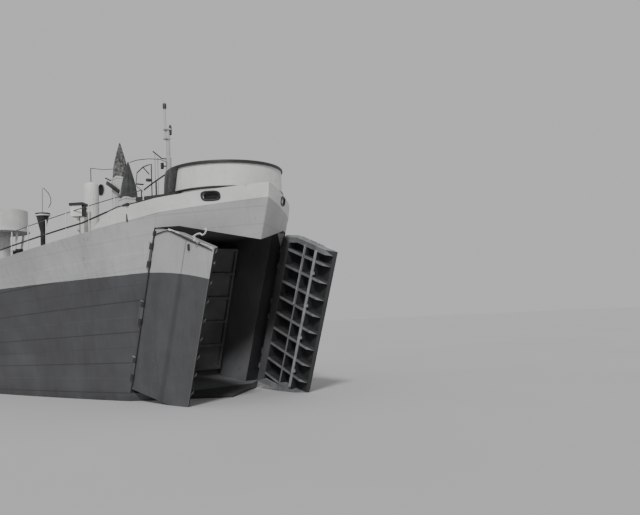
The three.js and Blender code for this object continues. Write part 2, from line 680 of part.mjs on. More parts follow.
function makeWindlass() {
  const { x, shaftUp, cheeks } = WINDLASS;
  const z = deckHeight(x);
  const shaft = z + shaftUp;
  let gear = block(x - 0.5, x + 0.5, -1.0, 1.0, z - 0.2, z + 0.35);
  for (const y of cheeks) {
    gear = gear.add(block(x - 0.3, x + 0.3, y - 0.12, y + 0.12, z, z + 0.95));
  }
  for (const [y, half, radius] of WINDLASS_DRUMS) {
    gear = gear.add(bar([x, y - half, shaft], [x, y + half, shaft], radius, 16));
  }
  return gear.subtract(hullRaised);
}

// Twin posts on a base plate
const BITT_PROFILE = [[0, 0], [0.15, 0], [0.15, 0.5], [0.2, 0.55], [0.2, 0.65], [0, 0.65]];

function makeBitts(x, y) {
  const z = deckHeight(x);
  let bitts = block(x - 0.65, x + 0.65, y - 0.22, y + 0.22, z - 0.15, z + 0.1);
  for (const dx of [-0.38, 0.38]) {
    bitts = bitts.add(turned(BITT_PROFILE, x + dx, y, z, 14));
  }
  return bitts.subtract(hullRaised);
}

// Mushroom ventilators on a low kerb along the cargo deck
const VENT_PLACES = [-12, -6, 0, 6, 12, 18, 24];
const VENT_ROW_Y = 5.7;
const VENT_PROFILE = [[0, 0], [0.2, 0], [0.2, 0.8], [0.42, 0.8], [0.3, 1.12], [0, 1.12]];

function makeDeckVents(side) {
  const y = side * VENT_ROW_Y;
  const [first, last] = [VENT_PLACES[0] - 0.6, VENT_PLACES[VENT_PLACES.length - 1] + 0.6];
  let row = block(first, last, y - 0.12, y + 0.12, DEPTH - 0.2, DEPTH + 0.22);
  for (const x of VENT_PLACES) {
    row = row.add(turned(VENT_PROFILE, x, y, DEPTH - 0.1, 8));
  }
  return row.subtract(hullRaised);
}

function makeHatchCoaming() {
  const { aft, fore, halfWidth, height, wall } = HATCH;
  const half = halfWidth + wall;
  const outer = block(aft - wall, fore + wall, -half, half, DEPTH - 0.1, DEPTH + height);
  const shell = outer.subtract(block(aft, fore, -halfWidth, halfWidth, 0, 20));
  return shell.subtract(hullRaised).subtract(hatchDoubler(TOUCH));
}

// The lid turns on its after edge
const LID_BATTENS = [14, 15.5, 17, 18.5];

function makeHatchLid() {
  const { aft, fore, halfWidth, height } = HATCH;
  const z = DEPTH + height + TOUCH;
  let lid = block(aft - 0.2, fore + 0.2, -halfWidth - 0.2, halfWidth + 0.2, z, z + 0.14);
  for (const x of LID_BATTENS) {
    lid = lid.add(block(x - 0.05, x + 0.05, -2.5, 2.5, z + 0.1, z + 0.26));
  }
  return lid;
}

// Superstructure aft: three houses on one another, each a solid block under its own overhanging deck
const HOUSE_TOPS = { deckhouse: 10.28, upper: 12.78, wheelhouse: 15.16, bridge: 16.2 };

// Plan with the two forward corners cut off
function housePlan(aft, fore, half, cut) {
  const starboard = [[aft, -half], [fore - cut * 0.8, -half], [fore, cut - half]];
  return [...starboard, ...starboard.map(([x, y]) => [x, -y]).reverse()];
}

function makeDeckhouse() {
  const top = HOUSE_TOPS.deckhouse;
  const house = prismXY(housePlan(-40, -20.2, 4.6, 1), 7, top - 0.13);
  const roof = prismXY(housePlan(-40.2, -19.8, 5.75, 1.25), top - 0.18, top);
  return house.add(roof).subtract(hullRaised);
}

function makeUpperHouse() {
  const top = HOUSE_TOPS.upper;
  const house = block(-36, -24, -3.3, 3.3, HOUSE_TOPS.deckhouse + TOUCH, top - 0.08);
  return house.add(block(-36.4, -23.2, -4.3, 4.3, top - 0.16, top));
}

function makeWheelhouse() {
  const { upper, wheelhouse: deck, bridge: rim } = HOUSE_TOPS;
  const house = prismXY(housePlan(-30, -25.2, 2.3, 0.8), upper + TOUCH, deck - 0.06);
  const roof = block(-30.6, -24.8, -2.7, 2.7, deck - 0.14, deck);
  const well = block(-30.3, -25.1, -2.4, 2.4, deck, rim + 1);
  return house.add(roof).add(block(-30.4, -25, -2.5, 2.5, deck - 0.06, rim).subtract(well));
}

const BRIDGE_TUB = { x: -26.2, y: 5.6, radius: 1.7, floor: 11.2, rim: 12.4, column: 0.45 };

function makeBridgeTub(side) {
  const { x, radius, floor, rim, column } = BRIDGE_TUB;
  const y = side * BRIDGE_TUB.y;
  let tub = tubWall(radius, 0.08, floor, rim, x, y, 24);
  tub = tub.add(post(radius - 0.02, x, y, floor, floor + 0.1, 24));
  return tub.add(post(column, x, y, HOUSE_TOPS.deckhouse + TOUCH, floor + 0.05, 10));
}

// Tripod mast abaft the bridge: heights above its foot
const AFTER_MAST = { x: -31.6, legsAft: 1.8, legsOut: 1.5, legsTop: 5.5, yard: 7.4, yardHalf: 2.7, top: 11 };
const AFTER_MAST_TOP = [[0, 0], [0.35, 0], [0.35, 0.5], [0, 0.5]];

function makeAfterMast() {
  const { x, legsAft, legsOut, legsTop, yard, yardHalf, top } = AFTER_MAST;
  const foot = HOUSE_TOPS.upper + TOUCH;
  let mast = turned([[0, 0], [0.22, 0], [0.16, 6], [0.07, top], [0, top]], x, 0, foot, 14);
  for (const y of [-legsOut, legsOut]) {
    mast = mast.add(bar([x - legsAft, y, foot + 0.1], [x, 0, foot + legsTop], 0.09, 8));
  }
  mast = mast.subtract(block(x - 5, x + 5, -5, 5, foot - 1, foot));
  mast = mast.add(bar([x, -yardHalf, foot + yard], [x, yardHalf, foot + yard], 0.08, 8));
  mast = mast.add(post(0.7, x, 0, foot + legsTop + 0.1, foot + legsTop + 0.2, 16));
  return mast.add(turned(AFTER_MAST_TOP, x, 0, foot + top - 0.2, 12));
}

const STERN_TUB = { x: -45.6, radius: 2.6, floor: 9.35, rim: 10.6, pedestal: 1.5, foot: 7.8 };

function makeSternTub() {
  const { x, radius, floor, rim, pedestal, foot } = STERN_TUB;
  let tub = tubWall(radius, 0.08, floor, rim, x, 0, 30);
  tub = tub.add(post(radius - 0.02, x, 0, floor, floor + 0.11, 30));
  tub = tub.add(post(pedestal, x, 0, foot, floor + 0.05, 16));
  return tub.subtract(hullRaised);
}

// Winch for the stern anchor: a drum between two cheeks on a bed
const WINCH = { x: -41.9, z: 8.75, half: 0.95, bed: 1.1, drum: 0.5, cheek: 0.72, cheekHalf: 0.06 };

function makeSternWinch() {
  const { x, z, half, bed, drum, cheek, cheekHalf } = WINCH;
  let winch = block(x - 0.7, x + 0.7, -bed, bed, 7, deckHeight(x) + 0.25);
  winch = winch.add(bar([x, -half, z], [x, half, z], drum, 20));
  for (const y of [-half, half]) {
    winch = winch.add(bar([x, y - cheekHalf, z], [x, y + cheekHalf, z], cheek, 20));
  }
  return winch.subtract(hullRaised);
}

// Stern anchor hung flat against the counter on its bracket
const ANCHOR = { x: -50.35, crown: 5.1, ring: 7.4, stock: 0.9, flukeY: 0.75, flukeHalf: 0.22 };
const ANCHOR_FLUKE = [[-0.1, -0.2], [0.1, -0.2], [0.13, 1.2], [-0.13, 1.2]];

function makeSternAnchor() {
  const { x, crown, ring, stock, flukeY, flukeHalf } = ANCHOR;
  const fluke = ANCHOR_FLUKE.map(([dx, dz]) => [x + dx, crown + dz]);
  let anchor = bar([x, 0, crown + 0.1], [x, 0, ring], 0.12, 10);
  anchor = anchor.add(bar([x, -stock, crown], [x, stock, crown], 0.13, 10));
  for (const y of [-flukeY, flukeY]) {
    anchor = anchor.add(prismXZ(fluke, y - flukeHalf, y + flukeHalf));
  }
  anchor = anchor.add(block(x - 0.15, x + 0.95, -0.2, 0.2, ring - 0.15, ring + 0.1));
  return anchor.subtract(hull.translate(-TOUCH * S, 0, 0));
}

const SKEG_STATIONS = [-44.9, -44.5, -42, -39, -36.6];

function makeSkeg(side) {
  const y = side * PROP.y;
  const profile = SKEG_STATIONS.map((x) => [x, keelHeight(x) + 1]);
  profile.push([-37.6, 0.15], [-43.9, 0.45], [-44.9, 0.95]);
  let skeg = prismXZ(profile, y - 0.2, y + 0.2);
  skeg = skeg.add(bar([-41, y, PROP.z], [PROP.x + 0.3 + TOUCH, y, PROP.z], 0.33, 16));
  return skeg.subtract(hull.translate(0, 0, -TOUCH * S));
}

function makeBlade(turn) {
  const shape = new THREE.Shape();
  shape.moveTo(-0.14 * S, 0.1 * S);
  shape.quadraticCurveTo(-0.5 * S, 0.7 * S, -0.12 * S, PROP.radius * S);
  shape.quadraticCurveTo(0.42 * S, 0.95 * S, 0.16 * S, 0.1 * S);
  const flat = { depth: 0.06 * S, bevelEnabled: false, curveSegments: 7 };
  const geometry = new THREE.ExtrudeGeometry(shape, flat);
  geometry.translate(0, 0, -0.03 * S);
  geometry.rotateY(THREE.MathUtils.degToRad(50));
  geometry.rotateX(turn + Math.PI / 2);
  return toSolid(geometry);
}

function makePropeller(side) {
  const hub = new THREE.LatheGeometry(
    [[0, -0.3], [0.24, -0.3], [PROP.hub, 0.1], [0.2, 0.3], [0.1, 0.42], [0, 0.42]]
      .map(([radius, along]) => new THREE.Vector2(radius * S, along * S)), 16);
  hub.rotateZ(Math.PI / 2);
  let screw = toSolid(hub);
  for (const blade of [0, 1, 2]) screw = screw.add(makeBlade(blade * Math.PI * 2 / 3));
  return screw.translate(PROP.x * S, side * PROP.y * S, PROP.z * S);
}

// Rudder section, starboard half from trailing to leading edge, measured from the stock
const RUDDER_HALF = [[-1.15, -0.02], [-0.4, -0.09], [0.15, -0.11]];

function makeRudder(side) {
  const y = side * PROP.y;
  const top = keelHeight(RUDDER.x + 0.12) - 0.001;
  const mirrored = RUDDER_HALF.map(([dx, dy]) => [dx, -dy]).reverse();
  const section = [...RUDDER_HALF, [0.35, 0], ...mirrored];
  const plan = section.map(([dx, dy]) => [RUDDER.x + dx, y + dy]);
  const rudder = prismXY(plan, RUDDER.bottom, top - 0.45);
  return rudder.add(post(0.12, RUDDER.x, y, top - 0.6, top, 12));
}

// Boat davits: a pair of bent arms with a spreader, turning outboard on their feet
const DAVIT = { aft: -16, fore: -10, y: 6.6, pin: 8.1, knee: 2.0, head: 3.15, cheek: 0.29 };

function makeDavits(side) {
  const { aft, fore, y, pin, knee, head } = DAVIT;
  const at = (x, inboard, up) => [x, side * (y - inboard), pin + up];
  let pair = bar(at(aft, 1.2, head - 0.05), at(fore, 1.2, head - 0.05), 0.09, 8);
  for (const x of [aft, fore]) {
    pair = pair.add(bar(at(x, 0, -0.1), at(x, 0.35, knee), 0.14, 10));
    pair = pair.add(bar(at(x, 0.35, knee - 0.1), at(x, 1.3, head), 0.13, 10));
    pair = pair.add(bar(at(x - 0.207, 0, 0), at(x + 0.207, 0, 0), 0.2, 12));
  }
  return pair;
}

function makeDavitFeet(side) {
  const { aft, fore, pin, cheek } = DAVIT;
  const y = side * DAVIT.y;
  let feet = block(aft - 0.6, fore + 0.6, y - 0.3, y + 0.3, DEPTH - 0.1, DEPTH + 0.1);
  for (const x of [aft, fore].flatMap((middle) => [middle - cheek, middle + cheek])) {
    feet = feet.add(block(x - 0.08, x + 0.08, y - 0.2, y + 0.2, DEPTH, pin + 0.25));
  }
  return feet.subtract(hullRaised);
}

function addSolid(name, solid, colour, roughness, metalness) {
  addMesh(name, toGeometry(solid), colour, roughness, metalness);
}

addSolid('hull_lower', makeHullLower(), PAINT.dark);
addSolid('hull_stern', makeHullStern(), PAINT.dark);
addSolid('main_deck', makeMainDeck(), PAINT.deck);
addSolid('forecastle', makeForecastle(), PAINT.light);
addSolid('bulwark', makeBulwark(), PAINT.pale);
for (const [word, side] of [['starboard', -1], ['port', 1]]) {
  addSolid(`wing_${word}`, makeWing(side), PAINT.light);
  addSolid(`shoulder_${word}`, makeShoulder(side), PAINT.light);
  addDoor(`bow_door_${word}`, side);
  addSolid(`side_tub_${word}`, makeSideTub(side), PAINT.pale);
  addSolid(`vent_trunk_${word}`, makeVentTrunk(side), PAINT.pale);
  addSolid(`cowl_${word}`, makeCowl(side), PAINT.black);
  addSolid(`raft_box_${word}`, makeRaftBox(side), PAINT.pale);
  addSolid(`bitts_fore_${word}`, makeBitts(34.5, side * 5.6), PAINT.black);
  addSolid(`bitts_aft_${word}`, makeBitts(-40.5, side * 6.4), PAINT.black);
  addSolid(`deck_vents_${word}`, makeDeckVents(side), PAINT.light);
  addSolid(`bridge_tub_${word}`, makeBridgeTub(side), PAINT.pale);
  addSolid(`skeg_${word}`, makeSkeg(side), PAINT.dark);
  addSolid(`propeller_${word}`, makePropeller(side), PAINT.bronze, 0.4, 0.9);
  addSolid(`rudder_${word}`, makeRudder(side), PAINT.dark);
  addSolid(`davits_${word}`, makeDavits(side), PAINT.light);
  addSolid(`davit_feet_${word}`, makeDavitFeet(side), PAINT.light);
}
addRamp();
addSolid('bow_tub', makeBowTub(), PAINT.pale);
addSolid('foremast', makeForemast(), PAINT.light);
for (const [word, trunk] of Object.entries(TRUNKS)) {
  addSolid(`trunk_${word}`, makeTrunk(trunk), PAINT.pale);
  addSolid(`windsail_${word}`, makeWindsail(trunk), PAINT.canvas, 0.95, 0);
}
addSolid('windlass', makeWindlass(), PAINT.steel);
addSolid('hatch_coaming', makeHatchCoaming(), PAINT.light);
addSolid('hatch_lid', makeHatchLid(), PAINT.deck);
addSolid('deckhouse', makeDeckhouse(), PAINT.light);
addSolid('upper_house', makeUpperHouse(), PAINT.light);
addSolid('wheelhouse', makeWheelhouse(), PAINT.light);
addSolid('after_mast', makeAfterMast(), PAINT.light);
addSolid('stern_tub', makeSternTub(), PAINT.pale);
addSolid('stern_winch', makeSternWinch(), PAINT.steel);
addSolid('stern_anchor', makeSternAnchor(), PAINT.black);

export default ship;
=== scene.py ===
# %% [markdown]
# # Dressing a tank landing ship in Blender
# The CAD model gives the ship's construction at one tenth of full size. Here it gets its looks: paint, weather,
# rails, ladders, rigging, canvas and the small fittings that make plain solids read as a working ship. First the
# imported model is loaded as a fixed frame. Nothing in it is moved, everything new is built on it.

# %% Load the frame
import math

import bmesh
import bpy
from mathutils import Matrix, Vector
from mathutils.bvhtree import BVHTree


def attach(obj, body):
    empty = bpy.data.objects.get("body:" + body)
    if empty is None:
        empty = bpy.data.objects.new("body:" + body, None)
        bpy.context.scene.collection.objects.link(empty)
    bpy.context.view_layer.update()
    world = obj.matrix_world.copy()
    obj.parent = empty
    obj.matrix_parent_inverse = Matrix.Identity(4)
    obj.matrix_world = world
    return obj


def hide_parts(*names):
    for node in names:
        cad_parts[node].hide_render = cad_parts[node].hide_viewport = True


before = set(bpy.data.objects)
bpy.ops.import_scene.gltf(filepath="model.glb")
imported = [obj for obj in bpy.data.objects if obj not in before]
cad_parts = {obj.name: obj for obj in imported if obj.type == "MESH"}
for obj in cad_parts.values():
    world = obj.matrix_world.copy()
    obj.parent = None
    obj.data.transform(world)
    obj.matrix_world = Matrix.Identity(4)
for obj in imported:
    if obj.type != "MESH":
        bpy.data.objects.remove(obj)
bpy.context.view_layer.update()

# %% [markdown]
# ## Ship metres
# A shipwright thinks in the size of the real ship, and so do the numbers below. They are full-size metres, X
# forward from amidships, Y to port and Z up from the keel. One scale turns them into the model's metres, and it is
# used in a few helpers only. The deck and the sides are never typed in again: a ray shot at the CAD plates finds them,
# so each piece sits on what carries it. A side is a word for names and a sign for Y.

# %% Scale and rays
SCALE = 0.1
FAR = 12.0
CLEAR_OF_SHIP = 20.0
HULL_PLATES = ("hull_lower", "hull_stern", "wing_starboard", "wing_port", "shoulder_starboard", "shoulder_port")
DECK_PLATES = (*HULL_PLATES[1:], "main_deck", "forecastle")


def ray_tree(*names):
    corners, faces = [], []
    for name in names:
        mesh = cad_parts[name].data
        first = len(corners)
        corners.extend(vertex.co.copy() for vertex in mesh.vertices)
        faces.extend([first + corner for corner in polygon.vertices] for polygon in mesh.polygons)
    return BVHTree.FromPolygons(corners, faces)


deck_rays = ray_tree(*DECK_PLATES)
side_rays = ray_tree(*HULL_PLATES, "forecastle", "bulwark")
SIDES = (("starboard", -1), ("port", 1))
UP = Vector((0, 0, 1))


def shoot(rays, start, direction):
    """Where a ray meets the plates. A ray that slips through the joint of two triangles is shot again beside it."""
    for aside in (0.0, 0.013, -0.013, 0.031):
        found = rays.ray_cast((start + Vector((aside, aside, aside))) * SCALE, direction, FAR)[0]
        if found is not None:
            return found / SCALE
    raise ValueError(f"no plate on the way from {tuple(start)}")


def deck_height(x, y):
    """Height in ship metres of the uppermost plate under (x, y)."""
    return shoot(deck_rays, Vector((x, y, CLEAR_OF_SHIP)), -UP).z


def side_breadth(x, z, side, rays=side_rays):
    """Half breadth in ship metres of the shell at (x, z), for side -1 starboard or 1 port."""
    return abs(shoot(rays, Vector((x, side * CLEAR_OF_SHIP, z)), Vector((0, -side, 0))).y)


print("main deck amidships:", round(deck_height(0, 6), 3), "m, half breadth:", round(side_breadth(0, 5, -1), 3), "m")

# %% [markdown]
# ## Camera
# The camera comes first, because every later choice of detail depends on what it sees. Its place, its direction
# and its focal length were solved from points of the ship that are known on the real thing, such as the deck edge,
# the door corners and the stem. The lens is a mild telephoto from low off the starboard bow.

# %% Photograph's camera
PHOTO_WIDTH = 640
CAMERA_PLACE = Vector((7.4522, -1.7185, 0.44226))
CAMERA_YAW = math.radians(141.402)
CAMERA_PITCH = math.radians(4.827)
CAMERA_ROLL = math.radians(-2.640)
FOCAL_PIXELS = 735.757
SENSOR_MM = 36.0


def heading(azimuth, elevation):
    """The direction that an azimuth and an elevation point to."""
    flat = math.cos(elevation)
    return Vector((math.cos(azimuth) * flat, math.sin(azimuth) * flat, math.sin(elevation)))


def place_in_scene(name, data):
    """A new object of the scene."""
    thing = bpy.data.objects.new(name, data)
    bpy.context.scene.collection.objects.link(thing)
    return thing


ahead = heading(CAMERA_YAW, CAMERA_PITCH)
level_right = ahead.cross(UP).normalized()
level_up = level_right.cross(ahead)
image_right = level_right * math.cos(CAMERA_ROLL) + level_up * math.sin(CAMERA_ROLL)
image_up = level_up * math.cos(CAMERA_ROLL) - level_right * math.sin(CAMERA_ROLL)

camera_data = bpy.data.cameras.new("quay_camera")
camera_data.sensor_width = SENSOR_MM
camera_data.lens = SENSOR_MM * FOCAL_PIXELS / PHOTO_WIDTH
camera_data.clip_start = 0.05
camera_data.clip_end = 400.0
camera = place_in_scene("quay_camera", camera_data)
camera_turn = Matrix((image_right, image_up, -ahead)).transposed().to_4x4()
camera.matrix_world = Matrix.Translation(CAMERA_PLACE) @ camera_turn
bpy.context.scene.camera = camera
print("lens:", round(camera_data.lens, 2), "mm")

# %% [markdown]
# ## Floor and light
# The ship floats, so the pale studio floor lies at its waterline and hides what the water would. A large soft key
# light stands off the starboard bow, high enough that the flared plates under the bulwark stay a tone darker than
# the upright ones above them. The pale world fills the shade.

# %% Studio
WATERLINE = 1.2
FLOOR_HALF = 120.0
KEY_AZIMUTH = math.radians(-42)
KEY_ELEVATION = math.radians(40)
KEY_ANGLE = math.radians(8)
KEY_ENERGY = 2.3
WORLD_TONE = "#E2E2E2"
WORLD_STRENGTH = 0.72
HARD_RESIN_IOR = 1.5


def linear(hex_colour):
    """An sRGB hex colour as linear red, green, blue and alpha."""
    channels = [int(hex_colour[first : first + 2], 16) / 255 for first in (1, 3, 5)]
    curved = [c / 12.92 if c <= 0.04045 else ((c + 0.055) / 1.055) ** 2.4 for c in channels]
    return (*curved, 1.0)


def add(tree, kind, inputs=None, **settings):
    """Adds one node with its settings. Each input is a value or the output of another node that feeds it."""
    made = tree.nodes.new(kind)
    for name, value in settings.items():
        setattr(made, name, value)
    for name, value in (inputs or {}).items():
        if isinstance(value, bpy.types.NodeSocket):
            tree.links.new(value, made.inputs[name])
        else:
            made.inputs[name].default_value = value
    return made.outputs


def new_material(name, roughness, metallic=0.0):
    """A material with its shader only, its tree, and the place on the ship that its pattern starts from."""
    material = bpy.data.materials.new(name)
    material.use_nodes = True
    tree = material.node_tree
    tree.nodes.clear()
    finish = {"Roughness": roughness, "Metallic": metallic, "IOR": HARD_RESIN_IOR}
    surface = add(tree, "ShaderNodeBsdfPrincipled", finish)[0]
    add(tree, "ShaderNodeOutputMaterial", {"Surface": surface})
    return material, tree, surface.node, add(tree, "ShaderNodeTexCoord")["Object"]


world = bpy.data.worlds.new("pale_studio")
world.use_nodes = True
backdrop = world.node_tree.nodes["Background"].inputs
backdrop["Color"].default_value = linear(WORLD_TONE)
backdrop["Strength"].default_value = WORLD_STRENGTH
bpy.context.scene.world = world

key_data = bpy.data.lights.new("key", "SUN")
key_data.energy = KEY_ENERGY
key_data.angle = KEY_ANGLE
key = place_in_scene("key", key_data)
key.rotation_euler = heading(KEY_AZIMUTH, KEY_ELEVATION).to_track_quat("Z", "Y").to_euler()

floor_mesh = bpy.data.meshes.new("floor")
floor_corners = [(x * FLOOR_HALF, y * FLOOR_HALF, WATERLINE * SCALE) for x, y in ((-1, -1), (1, -1), (1, 1), (-1, 1))]
floor_mesh.from_pydata(floor_corners, [], [(0, 1, 2, 3)])
floor = place_in_scene("floor", floor_mesh)
floor_material, floor_tree, floor_shader, floor_place = new_material("pale_matt_floor", 0.9)
floor_cloud = add(floor_tree, "ShaderNodeTexNoise", {"Vector": floor_place, "Scale": 0.8, "Detail": 4.0})["Fac"]
floor_mix = {0: floor_cloud, 6: linear("#B4B4B4"), 7: linear("#BEBEBE")}
floor_tone = add(floor_tree, "ShaderNodeMix", floor_mix, data_type="RGBA")[2]
floor_tree.links.new(floor_tone, floor_shader.inputs["Base Color"])
floor_mesh.materials.append(floor_material)
print("floor at the waterline,", WATERLINE, "m above the keel")

# %% [markdown]
# ## Smooth plating
# The CAD plates arrive as flat triangles, each with corners of its own. A real shell plate is rolled to a smooth curve
# and turns hard only at a knuckle or an edge. A small Geometry Nodes group welds the corners and marks as sharp only
# the edges that turn by more than a set angle, so the vertices of the CAD part stay untouched under the modifier.

# %% Smoothing by edge angle
SHARP_ANGLE = math.radians(28)


def smooth_plating_group():
    group = bpy.data.node_groups.new("smooth_plating", "GeometryNodeTree")
    group.interface.new_socket("Geometry", in_out="INPUT", socket_type="NodeSocketGeometry")
    group.interface.new_socket("Geometry", in_out="OUTPUT", socket_type="NodeSocketGeometry")
    start = add(group, "NodeGroupInput")[0]
    welded = add(group, "GeometryNodeMergeByDistance", {"Geometry": start, "Distance": 1e-5})[0]
    plain = add(group, "GeometryNodeRemoveAttribute", {"Geometry": welded, "Name": "custom_normal"})[0]
    faces = add(group, "GeometryNodeSetShadeSmooth", {"Geometry": plain, "Shade Smooth": True}, domain="FACE")[0]
    turn = add(group, "GeometryNodeInputMeshEdgeAngle")["Unsigned Angle"]
    hard = add(group, "FunctionNodeCompare", {0: turn, 1: SHARP_ANGLE}, data_type="FLOAT", operation="GREATER_THAN")[0]
    inputs = {"Geometry": faces, "Selection": hard, "Shade Smooth": False}
    edges = add(group, "GeometryNodeSetShadeSmooth", inputs, domain="EDGE")[0]
    add(group, "NodeGroupOutput", {0: edges})
    return group


smooth_plating = smooth_plating_group()


def smooth(piece):
    modifier = piece.modifiers.new("smooth_plating", "NODES")
    modifier.node_group = smooth_plating


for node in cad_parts.values():
    smooth(node)
print("smoothed", len(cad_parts), "CAD nodes at", round(math.degrees(SHARP_ANGLE)), "degrees")

# %% [markdown]
# ## Paint on plate
# The ship is rolled steel plate, brushed with matt alkyd enamel: light grey on the topsides, dark grey below a
# straight border. Nothing on such a hull is one colour. Rain draws streaks down from the deck edge, plates were
# painted on different days, the frames behind them print through as faint hollows, and every lap between two rows of
# plates (a strake) casts a thin line. All of this is worked out from the place on the ship, so it needs no image and
# runs across neighbouring solids without a break. Sizes are the model's millimetres, so a 125 mm strake is 1.25 m.

# %% Patterns
MATH, RANGE, MIX = "ShaderNodeMath", "ShaderNodeMapRange", "ShaderNodeMix"
STRAKE_MM = 125
LOWEST_LAP_MM = 272
LAP_RISE = 0.06
LAP_RISE_START = 3.2
FRAME_MM = 61
BUTT_MM = 730
PAINT_BORDER = 6.765
SOOT, TAR = "#161616", "#141414"


def per(millimetres):
    """Texture scale at which one feature is about this many millimetres wide."""
    return 1000.0 / millimetres


def blotches(tree, place, width_mm, low=0.3, high=0.7, detail=4.0, stretch=(1.0, 1.0, 1.0)):
    """A soft-edged mask, 0 to 1, of blotches about this wide. A stretch below 1 draws them out along that axis."""
    moved = add(tree, "ShaderNodeMapping", {"Vector": place, "Scale": stretch})[0]
    noise_inputs = {"Vector": moved, "Scale": per(width_mm), "Detail": detail, "Roughness": 0.6}
    cloud = add(tree, "ShaderNodeTexNoise", noise_inputs)["Fac"]
    return add(tree, RANGE, {"Value": cloud, "From Min": low, "From Max": high})[0]


def lay_over(tree, below, coat, mask, amount):
    """Lays a coat over a colour where the mask is 1, and lets that share of it show."""
    share = add(tree, MATH, {0: mask, 1: amount}, operation="MULTIPLY")[0]
    return add(tree, MIX, {0: share, 6: below, 7: linear(coat)}, data_type="RGBA")[2]


def feed(tree, shader, tone, height, strength, gloss=None):
    """Feeds the shader its colour, a bump from a height in metres and, where given, its roughness."""
    bump = add(tree, "ShaderNodeBump", {"Height": height, "Strength": strength, "Distance": 1.0})["Normal"]
    for socket, name in ((tone, "Base Color"), (bump, "Normal"), (gloss, "Roughness")):
        if socket:
            tree.links.new(socket, shader.inputs[name])


def scaled(hex_colour, factor):
    """The same hex colour, lighter or darker."""
    channels = [min(255, round(int(hex_colour[first : first + 2], 16) * factor)) for first in (1, 3, 5)]
    return "#{:02X}{:02X}{:02X}".format(*channels)


def rain_runs(tree, place, width_mm):
    """Runs of dirt that rain has drawn down the side, in some places only."""
    runs = blotches(tree, place, width_mm, 0.47, 0.70, 5.0, (1.0, 1.0, 0.05))
    where = blotches(tree, place, 420, 0.35, 0.65, 2.0)
    return add(tree, MATH, {0: runs, 1: where}, operation="MULTIPLY")[0]


def strake_rows(tree, axes):
    """Height in metres above the lowest lap. The laps rise a little towards the bow, so forward the rows widen."""
    forward = add(tree, MATH, {0: axes[0], 1: LAP_RISE_START}, operation="SUBTRACT")[0]
    forward = add(tree, MATH, {0: forward, 1: 0.0}, operation="MAXIMUM")[0]
    widening = add(tree, MATH, {0: forward, 1: LAP_RISE, 2: 1.0}, operation="MULTIPLY_ADD")[0]
    level = add(tree, MATH, {0: axes[2], 1: widening}, operation="DIVIDE")[0]
    return add(tree, MATH, {0: level, 1: LOWEST_LAP_MM / 1000}, operation="SUBTRACT")[0]


def line_at(tree, distance, half_width):
    """1 on a line and 0 beyond its half width, in metres."""
    inputs = {"Value": distance, "From Min": 0.35 * half_width, "From Max": half_width, "To Min": 1.0, "To Max": 0.0}
    return add(tree, RANGE, inputs)[0]


def plate_lines(tree, axes):
    """Masks of the laps and the butts, 1 on the line, and which strakes lie outside their neighbours."""
    rows = strake_rows(tree, axes)
    lap = line_at(tree, add(tree, MATH, {0: rows, 1: STRAKE_MM / 2000}, operation="PINGPONG")[0], 0.0034)
    wave = add(tree, MATH, {0: rows, 1: STRAKE_MM / 1000}, operation="PINGPONG")[0]
    middle = STRAKE_MM / 2000
    raised = add(tree, RANGE, {"Value": wave, "From Min": middle - 0.002, "From Max": middle + 0.002})[0]
    row = add(tree, MATH, {0: rows, 1: STRAKE_MM / 1000}, operation="DIVIDE")[0]
    row = add(tree, MATH, {0: row}, operation="FLOOR")[0]
    shifted = add(tree, MATH, {0: row, 1: 0.37 * BUTT_MM / 1000, 2: axes[0]}, operation="MULTIPLY_ADD")[0]
    butt = line_at(tree, add(tree, MATH, {0: shifted, 1: BUTT_MM / 2000}, operation="PINGPONG")[0], 0.0028)
    return lap, butt, raised


print("strake", STRAKE_MM, "mm, frames every", FRAME_MM, "mm")

# %% [markdown]
# ### Two-tone hull enamel
# Matt alkyd enamel has the index of a hard resin, about 1.5, and chalks in the sun, so its roughness is high and
# uneven. The border between the tones is a height on the ship, and it wanders by a brush's width. The laps show as
# dark lines on the dark tone, while thick light paint has filled them higher up. Below the deck edge a thin dark line
# marks the seam where the newest coat ends.

# %% Hull enamel
SEAM_ABOVE_BORDER = 0.0185
SEAM_RISE = 0.165
SEAM_START = 4.2


def two_tone_border(tree, place, axes, tone, dark, patches):
    """Dark enamel below the border, laid with an unsteady brush, and its laps."""
    lower = add(tree, MIX, {0: patches, 6: linear(scaled(dark, 0.86)), 7: linear(scaled(dark, 1.13))}, data_type="RGBA")
    brush = blotches(tree, place, 60)
    wobble = add(tree, MATH, {0: brush, 1: 0.0016, 2: axes[2]}, operation="MULTIPLY_ADD")[0]
    edge = PAINT_BORDER * SCALE
    above = add(tree, RANGE, {"Value": wobble, "From Min": edge, "From Max": edge + 0.0016})[0]
    tone = add(tree, MIX, {0: above, 6: lower[2], 7: tone}, data_type="RGBA")[2]
    below = add(tree, MATH, {0: 1.0, 1: above}, operation="SUBTRACT")[0]
    return tone, add(tree, RANGE, {"Value": below, "To Min": 0.22})[0]


def topside_seam(tree, axes):
    """The seam above the border, which rises from the door's hinge towards the stem."""
    forward = add(tree, MATH, {0: axes[0], 1: SEAM_START}, operation="SUBTRACT")[0]
    forward = add(tree, MATH, {0: forward, 1: 0.0}, operation="MAXIMUM")[0]
    start = PAINT_BORDER * SCALE + SEAM_ABOVE_BORDER
    height = add(tree, MATH, {0: forward, 1: SEAM_RISE, 2: start}, operation="MULTIPLY_ADD")[0]
    away = add(tree, MATH, {0: axes[2], 1: height}, operation="SUBTRACT")[0]
    away = add(tree, MATH, {0: away}, operation="ABSOLUTE")[0]
    return line_at(tree, away, 0.0022)


